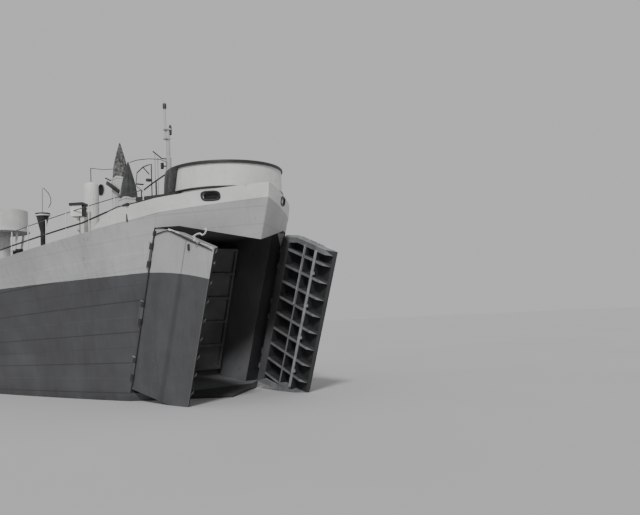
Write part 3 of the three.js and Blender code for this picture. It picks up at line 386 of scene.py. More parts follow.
def enamel_shell(name, light, dark, wear=1.0):
    """Matt alkyd enamel on lapped plate, in one tone or, where dark is given, in two at the paint border."""
    material, tree, shader, place = new_material(name, 0.62)
    axes = add(tree, "ShaderNodeSeparateXYZ", {0: place})
    patches = blotches(tree, place, 260)
    lap, butt, raised = plate_lines(tree, axes)
    pale_ends = {6: linear(scaled(light, 0.94)), 7: linear(scaled(light, 1.05))}
    tone = add(tree, MIX, {0: patches, **pale_ends}, data_type="RGBA")[2]
    lap_share = 0.22
    if dark:
        tone, lap_share = two_tone_border(tree, place, axes, tone, dark, patches)
        tone = lay_over(tree, tone, SOOT, topside_seam(tree, axes), 0.10)
    tone = lay_over(tree, tone, SOOT, rain_runs(tree, place, 26), 0.20 * wear)
    tone = lay_over(tree, tone, SOOT, add(tree, MATH, {0: lap, 1: lap_share}, operation="MULTIPLY")[0], 0.5)
    tone = lay_over(tree, tone, SOOT, butt, 0.08)
    rust = blotches(tree, place, 17, 0.665, 0.72, 6.0, (1.0, 1.0, 0.35))
    tone = lay_over(tree, tone, "#4B443F", rust, 0.5 * wear)
    wet_low, wet_high = WATERLINE * SCALE + 0.01, WATERLINE * SCALE + 0.055
    wet = {"Value": axes[2], "From Min": wet_low, "From Max": wet_high, "To Min": 0.55, "To Max": 0.0}
    damp = add(tree, RANGE, wet)[0]
    tone = lay_over(tree, tone, "#26282A", damp, blotches(tree, place, 40, 0.3, 0.7, 5.0))
    chalk = add(tree, RANGE, {"Value": patches, "To Min": 0.52, "To Max": 0.72})[0]
    phase = add(tree, MATH, {0: axes[0], 1: 2 * math.pi * per(FRAME_MM)}, operation="MULTIPLY")[0]
    hollows = add(tree, MATH, {0: phase}, operation="SINE")[0]
    height = add(tree, MATH, {0: raised, 1: 0.0012}, operation="MULTIPLY")[0]
    height = add(tree, MATH, {0: hollows, 1: 0.00022, 2: height}, operation="MULTIPLY_ADD")[0]
    dents = blotches(tree, place, 110, 0.2, 0.8, 3.0)
    height = add(tree, MATH, {0: dents, 1: 0.0021, 2: height}, operation="MULTIPLY_ADD")[0]
    height = add(tree, MATH, {0: rust, 1: -0.0006, 2: height}, operation="MULTIPLY_ADD")[0]
    feed(tree, shader, tone, height, 0.55, chalk)
    return material


hull_enamel = enamel_shell("matt_alkyd_enamel_two_tone", "#B0B1B1", "#4A4B4D")
topside_enamel = enamel_shell("matt_alkyd_enamel_light_grey", "#B0B1B1", None, 0.7)
print("hull enamel nodes:", len(hull_enamel.node_tree.nodes))

# %% [markdown]
# ### Shield enamel
# The bow bulwark, the tubs and the trunks stand out a tone paler, partly from their own paler paint and partly as
# painted light, since upright sheet high on the bow catches more sun than the flared plates below. They are thin
# smooth sheet with no laps, so the wear is different: scuffs, chips down to the primer and thin rust runs under the
# rim.


# %% Shield enamel
def shield_paint():
    """Pale matt enamel on thin sheet steel."""
    material, tree, shader, place = new_material("matt_alkyd_enamel_pale_grey", 0.6)
    patches = blotches(tree, place, 130)
    # A paler grey than the topsides: partly the sheet's own paint and partly painted light for upright sheet in the
    # sun.
    tone = add(tree, MIX, {0: patches, 6: linear("#C9C9C6"), 7: linear("#DCDCD9")}, data_type="RGBA")[2]
    tone = lay_over(tree, tone, SOOT, rain_runs(tree, place, 15), 0.2)
    scuffs = blotches(tree, place, 22, 0.62, 0.70, 8.0, (1.0, 1.0, 0.6))
    tone = lay_over(tree, tone, "#7C7B78", scuffs, 0.35)
    chips = blotches(tree, place, 7, 0.70, 0.73, 6.0)
    tone = lay_over(tree, tone, "#4A433E", chips, 0.7)
    chalk = add(tree, RANGE, {"Value": patches, "To Min": 0.5, "To Max": 0.7})[0]
    height = add(tree, MATH, {0: blotches(tree, place, 70, 0.2, 0.8, 3.0), 1: 0.0018}, operation="MULTIPLY")[0]
    height = add(tree, MATH, {0: chips, 1: -0.0005, 2: height}, operation="MULTIPLY_ADD")[0]
    feed(tree, shader, tone, height, 0.5, chalk)
    return material


shield_enamel = shield_paint()

# %% [markdown]
# ### Deck paint, dark enamels, bare metal
# Decks get a dark non-slip paint that boots and cargo polish along the plate edges. The load space, the inside of the
# doors and the underside of the overhang are darkened with painted shade, for the shade that falls behind the doors and
# under the overhang. Machinery is greased grey, the screws are cast bronze, whose colour lies in its metallic base,
# and the small fittings are thick black enamel, worn to steel where hands and ropes rub.

# %% Deck, dark and metal finishes
DECK_PLATE_LONG, DECK_PLATE_WIDE = 0.60, 0.183


def deck_coating():
    """Coarse non-slip deck paint on welded plates."""
    material, tree, shader, place = new_material("nonslip_deck_paint", 0.8)
    axes = add(tree, "ShaderNodeSeparateXYZ", {0: place})
    ends = line_at(tree, add(tree, MATH, {0: axes[0], 1: DECK_PLATE_LONG / 2}, operation="PINGPONG")[0], 0.003)
    seams = line_at(tree, add(tree, MATH, {0: axes[1], 1: DECK_PLATE_WIDE / 2}, operation="PINGPONG")[0], 0.003)
    welds = add(tree, MATH, {0: ends, 1: seams}, operation="MAXIMUM")[0]
    patches = blotches(tree, place, 300, 0.3, 0.7, 5.0)
    tone = add(tree, MIX, {0: patches, 6: linear("#4E5052"), 7: linear("#686A6B")}, data_type="RGBA")[2]
    tone = lay_over(tree, tone, SOOT, welds, 0.4)
    tone = lay_over(tree, tone, "#7F7E7B", blotches(tree, place, 45, 0.6, 0.72, 7.0), 0.5)
    grit = add(tree, MATH, {0: blotches(tree, place, 3, 0.3, 0.7, 2.0), 1: 0.0002}, operation="MULTIPLY")[0]
    height = add(tree, MATH, {0: welds, 1: 0.0012, 2: grit}, operation="MULTIPLY_ADD")[0]
    feed(tree, shader, tone, height, 0.6)
    return material


def thin_coat(name, colour, worn_to, roughness, blob_mm=12, worn_above=0.64, metallic=0.0):
    """A plain coat that is mottled all over and worn through in spots."""
    material, tree, shader, place = new_material(name, roughness, metallic)
    mottle = blotches(tree, place, blob_mm * 6)
    tones = {0: mottle, 6: linear(scaled(colour, 0.85)), 7: linear(scaled(colour, 1.15))}
    tone = add(tree, MIX, tones, data_type="RGBA")[2]
    worn = blotches(tree, place, blob_mm, worn_above, worn_above + 0.06, 6.0)
    tone = lay_over(tree, tone, worn_to, worn, 0.6)
    gloss = add(tree, RANGE, {"Value": mottle, "To Min": roughness - 0.1, "To Max": roughness + 0.1})[0]
    height = add(tree, MATH, {0: mottle, 1: 0.0006}, operation="MULTIPLY")[0]
    height = add(tree, MATH, {0: worn, 1: -0.0004, 2: height}, operation="MULTIPLY_ADD")[0]
    feed(tree, shader, tone, height, 0.4, gloss)
    return material


deck_paint = deck_coating()
# Painted shade: the load space, the overhang's underside and the doors' hinge stiles are darkened for the shade that
# falls there.
hold_painted_shade = thin_coat("load_space_enamel_in_painted_shade", "#5A5B5C", "#3A3A3A", 0.75, 40)
# Painted shade in the recesses between the door's ribs, on the jambs under the overhang and on the starboard door's
# rods.
pocket_painted_shade = thin_coat("painted_shade_between_ribs", "#333435", "#1E1E1E", 0.65, 30)
# Painted shade behind the bow doors, a little lighter than in the load space.
porch_painted_shade = thin_coat("porch_enamel_in_painted_shade", "#747576", "#5A5A59", 0.7, 60)
ramp_enamel = thin_coat("dull_enamel_on_the_bow_ramp", "#666768", "#4A4947", 0.65, 25)
rib_enamel = thin_coat("dark_enamel_on_door_ribs", "#7A7B7D", "#55524F", 0.6, 14)
black_enamel = thin_coat("thick_black_enamel", "#2B2B2C", "#6B6864", 0.45, 8, 0.66)
machine_grey = thin_coat("greased_machinery_grey", "#6F7071", "#3E3A36", 0.4, 10)
bronze = thin_coat("dull_cast_bronze", "#9A8156", "#6B5B40", 0.35, 20, 0.6, 1.0)
wire_steel = thin_coat("galvanised_wire_rope", "#55565A", "#33312E", 0.5, 6, 0.6, 0.6)
rail_enamel = thin_coat("light_enamel_on_rail_pipe", "#8F908F", "#54504C", 0.55, 9, 0.62)
rod_enamel = thin_coat("rubbed_enamel_on_door_rods", "#8E8F90", "#5A5856", 0.55, 9)
glass_dark = thin_coat("dirty_port_glass_over_dark_rooms", "#121416", "#202224", 0.12, 20)
print("materials:", len(bpy.data.materials))

# %% [markdown]
# ### Dressing the CAD plates
# One solid can carry several paints: a wing tank has an outer side, a deck and a wall of the load space. Each face is
# given its paint by where it looks. Faces that look up at deck height are deck, faces inside the tunnel get the hold's
# painted shade, a lighter painted shade behind the bow doors, and everything else keeps the shell's enamel.

# %% Paint each face
TUNNEL_HALF = 4.62
PORCH_X = 34.0
JAMB_HALF = 3.8
DECK_LOOKS_UP = 0.9


def paint_faces(name, materials, choose):
    """Gives the node its materials, and each face the index that choose(centre, normal) returns."""
    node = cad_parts[name]
    node.data.materials.clear()
    for material in materials:
        node.data.materials.append(material)
    for polygon in node.data.polygons:
        polygon.material_index = choose(polygon.center / SCALE, polygon.normal)


def shell_face(centre, normal):
    """0 shell, 1 deck, 2 hold and 3 the porch behind the bow doors, both in painted shade."""
    if normal.z > DECK_LOOKS_UP and centre.z > 7.5:
        return 1
    looks_in = normal.y * centre.y < -0.2 * abs(centre.y) and abs(centre.y) < TUNNEL_HALF
    between = abs(centre.y) < TUNNEL_HALF and abs(normal.z) > 0.5 and 1.5 < centre.z < 9.0
    ahead_wall = normal.x < -0.5 and -29 < centre.x < 42
    aft_wall = normal.x > 0.5 and abs(centre.x + 30) < 0.5 and centre.z < 7.7
    if not (looks_in or between or ahead_wall or aft_wall):
        return 0
    return 3 if centre.x > PORCH_X else 2


def shoulder_face(centre, normal):
    """As the shell, and 4 for the narrow faces that the doors shut on, darkened as painted shade under the overhang."""
    jamb = normal.x > 0.5 and abs(centre.y) < JAMB_HALF and centre.z < 8.7
    return 4 if jamb else shell_face(centre, normal)


SHELL_COATS = (hull_enamel, deck_paint, hold_painted_shade, porch_painted_shade, pocket_painted_shade)
for name in (*HULL_PLATES, "main_deck", "forecastle"):
    paint_faces(name, SHELL_COATS, shoulder_face if name.startswith("shoulder") else shell_face)

PLAIN_COATS = {
    shield_enamel: ("bulwark", "bow_tub", "stern_tub", "trunk_tall", "trunk_low"),
    topside_enamel: ("deckhouse", "upper_house", "wheelhouse", "hatch_coaming", "foremast", "after_mast"),
    deck_paint: ("hatch_lid",),
    machine_grey: ("windlass", "stern_winch"),
    black_enamel: ("stern_anchor",),
}
SIDED_COATS = {
    shield_enamel: ("side_tub", "bridge_tub", "vent_trunk", "raft_box"),
    topside_enamel: ("deck_vents", "davits", "davit_feet"),
    black_enamel: ("cowl", "bitts_fore", "bitts_aft"),
    bronze: ("propeller",),
    hull_enamel: ("skeg", "rudder"),
}
for material, names in PLAIN_COATS.items():
    for name in names:
        paint_faces(name, (material,), lambda centre, normal: 0)
for material, names in SIDED_COATS.items():
    for name in names:
        for side_word in ("starboard", "port"):
            paint_faces(f"{name}_{side_word}", (material,), lambda centre, normal: 0)
for name in ("deckhouse", "upper_house", "wheelhouse"):
    paint_faces(name, (topside_enamel, deck_paint), lambda centre, normal: int(normal.z > DECK_LOOKS_UP))
paint_faces("bow_tub", (shield_enamel, black_enamel), lambda centre, normal: int(centre.z > 11.11))

# %% [markdown]
# The doors were painted shut, as part of the side. So their paint border, and everything fixed to them, is worked out
# in the frame of the closed door: a share of the way from hinge to stem, a height, and a depth behind the outer
# skin. Opening the door is one turn about the raked hinge line, and undoing that turn gives the frame back.

# %% Frame of the doors
RAKE = math.radians(22)
DOOR_OPEN = math.radians(44.3)
RAKE_AXIS = Vector((math.sin(RAKE), 0, math.cos(RAKE)))
HINGE_X, HINGE_Y, BOW_REF_Z, BOW_LENGTH = 43.3, 3.4, 1.5, 3.2
DOOR_TOP_Z, DOOR_LEVEL_SHARE, DOOR_CHIN_Z = 8.535, 0.26, 7.82


def door_hinge(side):
    """The hinge's pivot, the turn that opens the door, and the outward direction of the closed skin."""
    across = Vector((BOW_LENGTH, -side * HINGE_Y, 0)).normalized()
    outward = -side * across.cross(RAKE_AXIS).normalized()
    return Vector((HINGE_X, side * HINGE_Y, BOW_REF_Z)), Matrix.Rotation(side * DOOR_OPEN, 3, RAKE_AXIS), outward


def door_point(side, share, z, off=0.0):
    """A point of the open door; off is outward from its skin, and below zero towards the ribs."""
    pivot, swing, outward = door_hinge(side)
    shut_x = HINGE_X + (z - BOW_REF_Z) * math.tan(RAKE) + BOW_LENGTH * share
    shut = Vector((shut_x, side * HINGE_Y * (1 - share), z))
    return pivot + swing @ (shut + outward * off - pivot)


def in_door(side, point):
    """Share, height and depth of a point of the open door."""
    pivot, swing, outward = door_hinge(side)
    shut = swing.transposed() @ (point - pivot)
    depth = -shut.dot(outward)
    skin = shut + outward * depth + pivot
    return 1 - side * skin.y / HINGE_Y, skin.z, depth


def door_top(share):
    fall = max(0.0, share - DOOR_LEVEL_SHARE) / (1 - DOOR_LEVEL_SHARE)
    return DOOR_TOP_Z - (DOOR_TOP_Z - DOOR_CHIN_Z) * fall


print("door's free corner:", [round(value, 2) for value in door_point(-1, 1.0, DOOR_CHIN_Z)])

# %% [markdown]
# ### Door enamel
# The outer skin is one smooth plate with no laps. A butt strap runs up its middle and shows as a dark line in the
# light tone and as a broad dull stripe in the dark one. The border bows up a little between hinge and stem, and the
# free edge is rubbed pale. Share and height are linear in place, so each is one dot product in the shader.

# %% Enamel on the doors' skins
BORDER_MIDDLE, BORDER_BOW, DOOR_BORDER, STRAP_SHARE = 0.46, 0.38, 6.825, 0.555


def door_gauge(tree, place, side, measure):
    """One measure of the closed door's frame, 0 for the share and 1 for the height, at a place of the open door."""
    zero = in_door(side, Vector((0, 0, 0)))[measure]
    slope = [in_door(side, axis)[measure] - zero for axis in Matrix.Identity(3)]
    along = Vector(slope) / SCALE
    dot = add(tree, "ShaderNodeVectorMath", {0: place, 1: along}, operation="DOT_PRODUCT")["Value"]
    return add(tree, MATH, {0: dot, 1: zero}, operation="ADD")[0]


def door_skin(side_word, side):
    """Matt alkyd enamel in two tones on a door's outer skin."""
    material, tree, shader, place = new_material(f"matt_alkyd_enamel_on_{side_word}_door", 0.62)
    share = door_gauge(tree, place, side, 0)
    height = door_gauge(tree, place, side, 1)
    patches = blotches(tree, place, 150)
    light = add(tree, MIX, {0: patches, 6: linear("#A6A7A7"), 7: linear("#B2B3B3")}, data_type="RGBA")[2]
    dark = add(tree, MIX, {0: patches, 6: linear("#444547"), 7: linear("#525355")}, data_type="RGBA")[2]
    from_middle = add(tree, MATH, {0: share, 1: BORDER_MIDDLE}, operation="SUBTRACT")[0]
    bow = add(tree, MATH, {0: from_middle, 1: from_middle}, operation="MULTIPLY")[0]
    raised = add(tree, MATH, {0: bow, 1: BORDER_BOW, 2: height}, operation="MULTIPLY_ADD")[0]
    above = add(tree, RANGE, {"Value": raised, "From Min": DOOR_BORDER, "From Max": DOOR_BORDER + 0.015})[0]
    from_strap = add(tree, MATH, {0: share, 1: STRAP_SHARE}, operation="SUBTRACT")[0]
    from_strap = add(tree, MATH, {0: from_strap}, operation="ABSOLUTE")[0]
    light = lay_over(tree, light, SOOT, line_at(tree, from_strap, 0.013), 0.45)
    dark = lay_over(tree, dark, SOOT, line_at(tree, from_strap, 0.055), 0.30)
    tone = add(tree, MIX, {0: above, 6: dark, 7: light}, data_type="RGBA")[2]
    tone = lay_over(tree, tone, SOOT, rain_runs(tree, place, 20), 0.16)
    scuffs = blotches(tree, place, 14, 0.60, 0.70, 7.0)
    tone = lay_over(tree, tone, "#6E6E6C", scuffs, 0.22)
    rubbed = add(tree, RANGE, {"Value": share, "From Min": 0.978, "From Max": 0.992})[0]
    tone = lay_over(tree, tone, "#B4B4B0", rubbed, 0.35)
    dents = blotches(tree, place, 90, 0.2, 0.8, 3.0)
    relief = add(tree, MATH, {0: dents, 1: 0.0022}, operation="MULTIPLY")[0]
    strap = line_at(tree, from_strap, 0.03)
    relief = add(tree, MATH, {0: strap, 1: 0.0006, 2: relief}, operation="MULTIPLY_ADD")[0]
    feed(tree, shader, tone, relief, 0.5)
    return material


door_skins = {side_word: door_skin(side_word, side) for side_word, side in SIDES}
print("door skins:", len(door_skins))

# %% [markdown]
# ### Ribs, pockets and ramp
# Behind the skin the doors are framed like an egg crate. A face is a pocket when it lies inside the crate, and pockets
# are darkened with painted shade, while the ribs' caps and the door's edges are a lighter, rubbed enamel. The ramp is
# raised in the dark behind the doors and is duller still.


# %% Crate of the doors and the ramp
def crate_face(side, centre, normal):
    """0 outer skin, 1 caps of the ribs and edges of the door, 2 pockets in painted shade, 3 the stile by the hinge in
    painted shade.
    """
    share, height, depth = in_door(side, centre)
    outward = door_hinge(side)[1] @ door_hinge(side)[2]
    facing = normal.dot(outward)
    if facing > 0.6:
        return 0
    if facing < -0.6:
        return 2 if depth < 0.3 else 3 if share < 0.25 else 1
    if share < 0.05:
        return 3
    inside = share < 0.95 and 1.9 < height < door_top(share) - 0.15
    return 2 if inside else 1


for side_word, side in SIDES:
    coats = (door_skins[side_word], rib_enamel, pocket_painted_shade, hold_painted_shade)
    paint_faces(f"bow_door_{side_word}", coats, lambda centre, normal, side=side: crate_face(side, centre, normal))
paint_faces("bow_ramp", (ramp_enamel,), lambda centre, normal: 0)
for name in ("windsail_tall", "windsail_low"):
    paint_faces(name, (black_enamel,), lambda centre, normal: 0)


def raft_box_face(centre, normal):
    """0 pale, 1 the black face that looks ahead and inboard, and the lid's dark rim."""
    # Faces that look ahead and inboard are painted black.
    tarred = normal.x > 0.5 and normal.y * centre.y < 0
    return int(tarred or centre.z > 10.14)


for side_word in ("starboard", "port"):
    paint_faces(f"raft_box_{side_word}", (shield_enamel, black_enamel), raft_box_face)
print("painted", len(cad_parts), "nodes")

# %% [markdown]
# ## How the small pieces are made
# Rails, ladders, stays and brackets on a ship are rolled bar, pipe and plate. Three small builders cover them: a bar
# swept along points, a plate with broken edges, and a turned form. Each works in ship metres on an open bmesh, so one
# row of rails or one ladder becomes one object, and `seat` closes it, scales it down and lets it ride on its body.


# %% Builders
def loft(shape, rings, capped=True, round_about=True):
    """Joins rows of vertices with faces, round about or as an open strip, and closes both ends where capped."""
    for near, far in zip(rings, rings[1:]):
        for step in range(len(near) if round_about else len(near) - 1):
            after = (step + 1) % len(near)
            shape.faces.new((near[step], near[after], far[after], far[step]))
    if capped:
        shape.faces.new(rings[0])
        shape.faces.new(rings[-1])


def ring_about(shape, centre, across, other, radius, sides):
    turns = [2 * math.pi * step / sides for step in range(sides)]
    return [shape.verts.new(centre + (across * math.cos(t) + other * math.sin(t)) * radius) for t in turns]


def bar(shape, points, radius, sides=6):
    """Sweeps a round bar along points."""
    points = [Vector(point) for point in points]
    first = points[1] - points[0]
    across = first.cross(UP if first.cross(UP).length > 0.1 * first.length else Vector((1, 0, 0)))
    rings = []
    for index, point in enumerate(points):
        along = (points[min(index + 1, len(points) - 1)] - points[max(index - 1, 0)]).normalized()
        across = (across - along * across.dot(along)).normalized()
        other = across.cross(along)
        rings.append(ring_about(shape, point, across, other, radius, sides))
    loft(shape, rings)


def plate(shape, middle, size, axes=None, edge=0.015):
    """A plate or block with broken edges; axes are the directions of its three sizes."""
    turn = Matrix(axes).transposed() if axes else Matrix.Identity(3)
    place = Matrix.Translation(Vector(middle)) @ turn.to_4x4() @ Matrix.Diagonal((*size, 1.0))
    corners = bmesh.ops.create_cube(shape, size=1.0, matrix=place)["verts"]
    edges = list(dict.fromkeys(touching for corner in corners for touching in corner.link_edges))
    bmesh.ops.bevel(shape, geom=edges, offset=min(edge, 0.3 * min(size)), segments=1, affect="EDGES")


def turned(shape, foot, profile, axis=UP, sides=20):
    """Turns a profile of (radius, height) pairs about an axis that starts at foot."""
    axis = Vector(axis).normalized()
    across = axis.cross(UP if axis.cross(UP).length > 0.1 else Vector((1, 0, 0))).normalized()
    other = axis.cross(across)
    foot = Vector(foot)
    loft(shape, [ring_about(shape, foot + axis * height, across, other, radius, sides) for radius, height in profile])


def seat(shape, name, material, body="hull"):
    """Closes a shape as one object of the model, on its body."""
    bmesh.ops.recalc_face_normals(shape, faces=shape.faces)
    bmesh.ops.scale(shape, vec=(SCALE, SCALE, SCALE), verts=shape.verts)
    mesh = bpy.data.meshes.new(name)
    shape.to_mesh(mesh)
    shape.free()
    mesh.materials.append(material)
    piece = place_in_scene(name, mesh)
    smooth(piece)
    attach(piece, body)
    return piece


def steps(start, stop, pitch):
    """Evenly spaced places from start to stop, at about this pitch."""
    count = max(1, round(abs(stop - start) / pitch))
    return [start + (stop - start) * index / count for index in range(count + 1)]


# %% [markdown]
# ## Guard rails
# A ship's side is fenced with stanchions and slack wires. They stand just inside the deck edge, so both the deck's
# height and its edge are looked up under each stanchion. Forward, the fence is one thin wire at hip height over a
# thick tarred rope at the knee, and both run on over the low end of the bulwark. Abreast of the davits the fence is
# open, because they swing out there.

# %% Guard rails along the sides
RAIL_IN = 0.14
WIRE = 0.022
STANCHION = 0.03
ROPE_SEAT = 0.17
PIPE_RISES = (0.36, 0.7, 1.05)


def edge_point(x, side, rise=0.0):
    """A point above the deck edge, just inboard of it."""
    sheer = deck_height(x, side * 3.2)
    y = side * (side_breadth(x, sheer - 0.1, side) - RAIL_IN)
    return Vector((x, y, sheer + rise))


def guard_rail(name, places, side, heights, post_material, wire_material):
    feet = [edge_point(x, side) for x in places]
    posts = bmesh.new()
    for foot in feet:
        bar(posts, (foot, foot + UP * (heights[-1] + 0.02)), STANCHION)
        plate(posts, foot + UP * 0.01, (0.16, 0.12, 0.03))
    seat(posts, f"{name}_posts", post_material)
    wires = bmesh.new()
    for rise in heights:
        bar(wires, [foot + UP * rise for foot in feet], WIRE, 5)
    seat(wires, f"{name}_wires", wire_material)


FORE_RAIL = (22.5, 45.6)
WAIST_RAIL = (-8.6, 22.5)
AFT_RAIL = (-47.0, -17.4)
ROPE_RISES = ((22.5, 0.52), (43.0, 0.52), (43.6, 0.68), (44.5, 0.72), (45.4, 0.68), (46.4, 0.66))


def rope_rise(x):
    """Height of the tarred rope over the deck, which climbs onto the bulwark."""
    for (near, low), (far, high) in zip(ROPE_RISES, ROPE_RISES[1:]):
        if x <= far:
            return low + (high - low) * (x - near) / (far - near)
    return ROPE_RISES[-1][1]


for side_word, side in SIDES:
    guard_rail(f"rail_fore_{side_word}", steps(*FORE_RAIL, 1.55), side, (1.2,), shield_enamel, wire_steel)
    for stretch, ends in (("waist", WAIST_RAIL), ("aft", AFT_RAIL)):
        places = steps(*ends, 2.1)
        guard_rail(f"rail_{stretch}_{side_word}", places, side, PIPE_RISES, rail_enamel, rail_enamel)
    shape = bmesh.new()
    bar(shape, [edge_point(x, side, rope_rise(x)) for x in steps(22.5, 43.6, 1.55)], 0.04)
    on_top = [edge_point(x, side, rope_rise(x)) + Vector((0, side * ROPE_SEAT, 0)) for x in steps(44.4, 46.4, 0.25)]
    bar(shape, [edge_point(43.6, side, rope_rise(43.6)), *on_top], 0.026)
    seat(shape, f"tarred_rope_{side_word}", black_enamel)
print("rails from", AFT_RAIL[0], "to", FORE_RAIL[1], "m")

# %% [markdown]
# ## Bow tub
# The round tub is a splinter shield of thin plate, stiffened by a rolled bar at the rim. Hands and gear have worn the
# rim dark and ragged, and a black strip where the tub's floor meets the bulwark is painted shadow of the gap between
# them.

# %% Tub rim and foot strip
BOW_TUB_X, BOW_TUB_RADIUS, BOW_TUB_RIM, BOW_TUB_FLOOR = 46.39, 2.54, 11.2, 10.0
GATE = math.radians(-128)
GATE_HALF = math.radians(14)


def tub_arc(angle, radius, height):
    return Vector((BOW_TUB_X + radius * math.cos(angle), radius * math.sin(angle), height))


def arc_points(radius, height, start, stop, count):
    return [tub_arc(start + (stop - start) * index / count, radius, height) for index in range(count + 1)]


shape = bmesh.new()
rim_start, rim_stop = GATE + GATE_HALF, GATE - GATE_HALF + 2 * math.pi
bar(shape, arc_points(BOW_TUB_RADIUS - 0.02, BOW_TUB_RIM + 0.01, rim_start, rim_stop, 60), 0.055, 8)
seat(shape, "bow_tub_rim", black_enamel)
# Black strip at the tub's foot: painted shadow of the gap between tub and bulwark.
shape = bmesh.new()
bar(shape, arc_points(BOW_TUB_RADIUS + 0.02, BOW_TUB_FLOOR + 0.11, rim_start, rim_stop, 60), 0.05, 6)
seat(shape, "bow_tub_foot_shadow_strip", black_enamel)
print("tub rim and foot strip on", BOW_TUB_RADIUS, "m radius")

# %% [markdown]
# ## Windsails
# A windsail is a canvas cone that turns the breeze down a trunk. The canvas is laced over a hoop at the foot and
# gathered to a point at the head, so it hangs in soft folds between the two. Each cone is one thin sheet of cloth
# with deep pleats that die out towards the tip, and the closed CAD cone behind it is hidden. The closed CAD cone
# behind it stays for collision only.

# %% Canvas
WEAVE_MM = 4


def canvas_cloth(name, dark, light, patch_mm):
    """Weathered cotton canvas. Its weave is drawn some ten times coarser than real, or it would not show at all."""
    material, tree, shader, place = new_material(name, 0.95)
    axes = add(tree, "ShaderNodeSeparateXYZ", {0: place})
    patches = blotches(tree, place, patch_mm, 0.40, 0.60, 5.0)
    tone = add(tree, MIX, {0: patches, 6: linear(dark), 7: linear(light)}, data_type="RGBA")[2]
    tone = lay_over(tree, tone, TAR, rain_runs(tree, place, 9), 0.35)
    shader.inputs["Sheen Weight"].default_value = 0.15
    level = add(tree, MATH, {0: axes[2], 1: 2 * math.pi * per(WEAVE_MM)}, operation="MULTIPLY")[0]
    weft = add(tree, MATH, {0: level}, operation="SINE")[0]
    height = add(tree, MATH, {0: blotches(tree, place, 18, 0.2, 0.8), 1: 0.002}, operation="MULTIPLY")[0]
    height = add(tree, MATH, {0: weft, 1: 0.0001, 2: height}, operation="MULTIPLY_ADD")[0]
    feed(tree, shader, tone, height, 0.6)
    return material


dark_canvas = canvas_cloth("tarred_cotton_canvas", "#3A3B3C", "#484949", 60)
mottled_canvas = canvas_cloth("mottled_cotton_canvas", "#38393A", "#767773", 14)
# Black canvas for the sheet over the tub's gate: painted shade on the tub's after side.
painted_shade_canvas = canvas_cloth("black_canvas_as_painted_shade", "#262728", "#3A3B3C", 25)


def windsail(node, material, x, y, radius, foot_z, height, bulge):
    """One sheet laced round a hoop and gathered at the head."""
    shape = bmesh.new()
    rows, folds, sides = 26, 9, 90
    grid = []
    for row in range(rows + 1):
        rise = row / rows
        ring = []
        for step in range(sides):
            turn = 2 * math.pi * step / sides
            pleat = math.cos(folds * turn + 1.3 * math.sin(2 * turn)) * 0.05 * math.sin(math.pi * min(1, rise * 1.15))
            sag = bulge * math.sin(math.pi * rise)
            r = radius * ((1 - rise) ** 0.92 + sag) * (1 + pleat * 2.2) + 0.022
            ring.append(shape.verts.new((x + r * math.cos(turn), y + r * math.sin(turn), foot_z + height * rise)))
        grid.append(ring)
    loft(shape, grid, capped=False)
    piece = seat(shape, f"{node}_cloth", material)
    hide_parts(node)


TALL_SAIL = {"x": 40.3, "y": -2.3, "radius": 0.36, "foot_z": 11.9, "height": 1.75, "bulge": 0.10}
LOW_SAIL = {"x": 41.9, "y": -2.6, "radius": 0.40, "foot_z": 10.6, "height": 1.75, "bulge": 0.05}
windsail("windsail_tall", mottled_canvas, **TALL_SAIL)
windsail("windsail_low", dark_canvas, **LOW_SAIL)
print("windsails hung")

# %% [markdown]
# ## Gallery and its screen
# Abaft the bow tub a small gallery leads to the gate in the tub's side. Its floor is a sloping plank in black, which
# stands as painted shadow under the platform's edge and draws a strong line over the bulwark, and a hand rail slants
# up along it. Outboard of it a roller sits on the bulwark. A sheet of black canvas is laid over the gate and the tub's
# after wall as painted shade, where the round wall turns from the light. It is a single stretched sheet, so it follows
# the tub's round wall, with small folds and one loose corner at its foot.

# %% Gallery, hand rail and gate screen
GALLERY_HEIGHTS = ((43.05, 10.44), (44.58, 10.27), (45.91, 10.13), (46.9, 10.06))
GALLERY_OUTER, GALLERY_INNER, GALLERY_THICK = -2.78, -1.9, 0.2


def gallery_floor(shape):
    """A plank of black plate, painted shadow under the platform's edge, that slopes down to the tub, bent at each
    height.
    """
    rows = []
    for x, top in GALLERY_HEIGHTS:
        corners = ((GALLERY_OUTER, top - GALLERY_THICK), (GALLERY_OUTER, top), (GALLERY_INNER, top))
        corners = (*corners, (GALLERY_INNER, top - GALLERY_THICK))
        rows.append([shape.verts.new((x, y, z)) for y, z in corners])
    loft(shape, rows)


# The gallery floor is black as painted shadow of the platform's edge, which draws a dark line over the bulwark.
shape = bmesh.new()
gallery_floor(shape)
for x, y in ((43.2, -2.62), (43.2, -2.0), (44.6, -2.62), (44.6, -2.0)):
    bar(shape, ((x, y, deck_height(x, y)), (x, y, 10.18)), 0.045)
plate(shape, (44.93, -4.1, 9.71), (0.5, 0.16, 0.13), edge=0.05)
bar(shape, ((44.93, -4.05, 9.0), (44.93, -4.05, 9.68)), 0.05)
seat(shape, "gallery_floor", black_enamel)

shape = bmesh.new()
bar(shape, ((43.51, -2.7, 10.62), (44.6, -2.7, 10.81), (45.76, -2.66, 10.99)), 0.035)
bar(shape, ((45.04, -2.7, 10.15), (45.04, -2.7, 10.87)), 0.03)
bar(shape, ((43.51, -2.7, 10.36), (43.51, -2.7, 10.62)), 0.03)
seat(shape, "gallery_rail", wire_steel)


SCREEN_FOOT, SCREEN_RISE = 10.16, 1.02
SCREEN_ROWS, SCREEN_COLUMNS = 12, 48


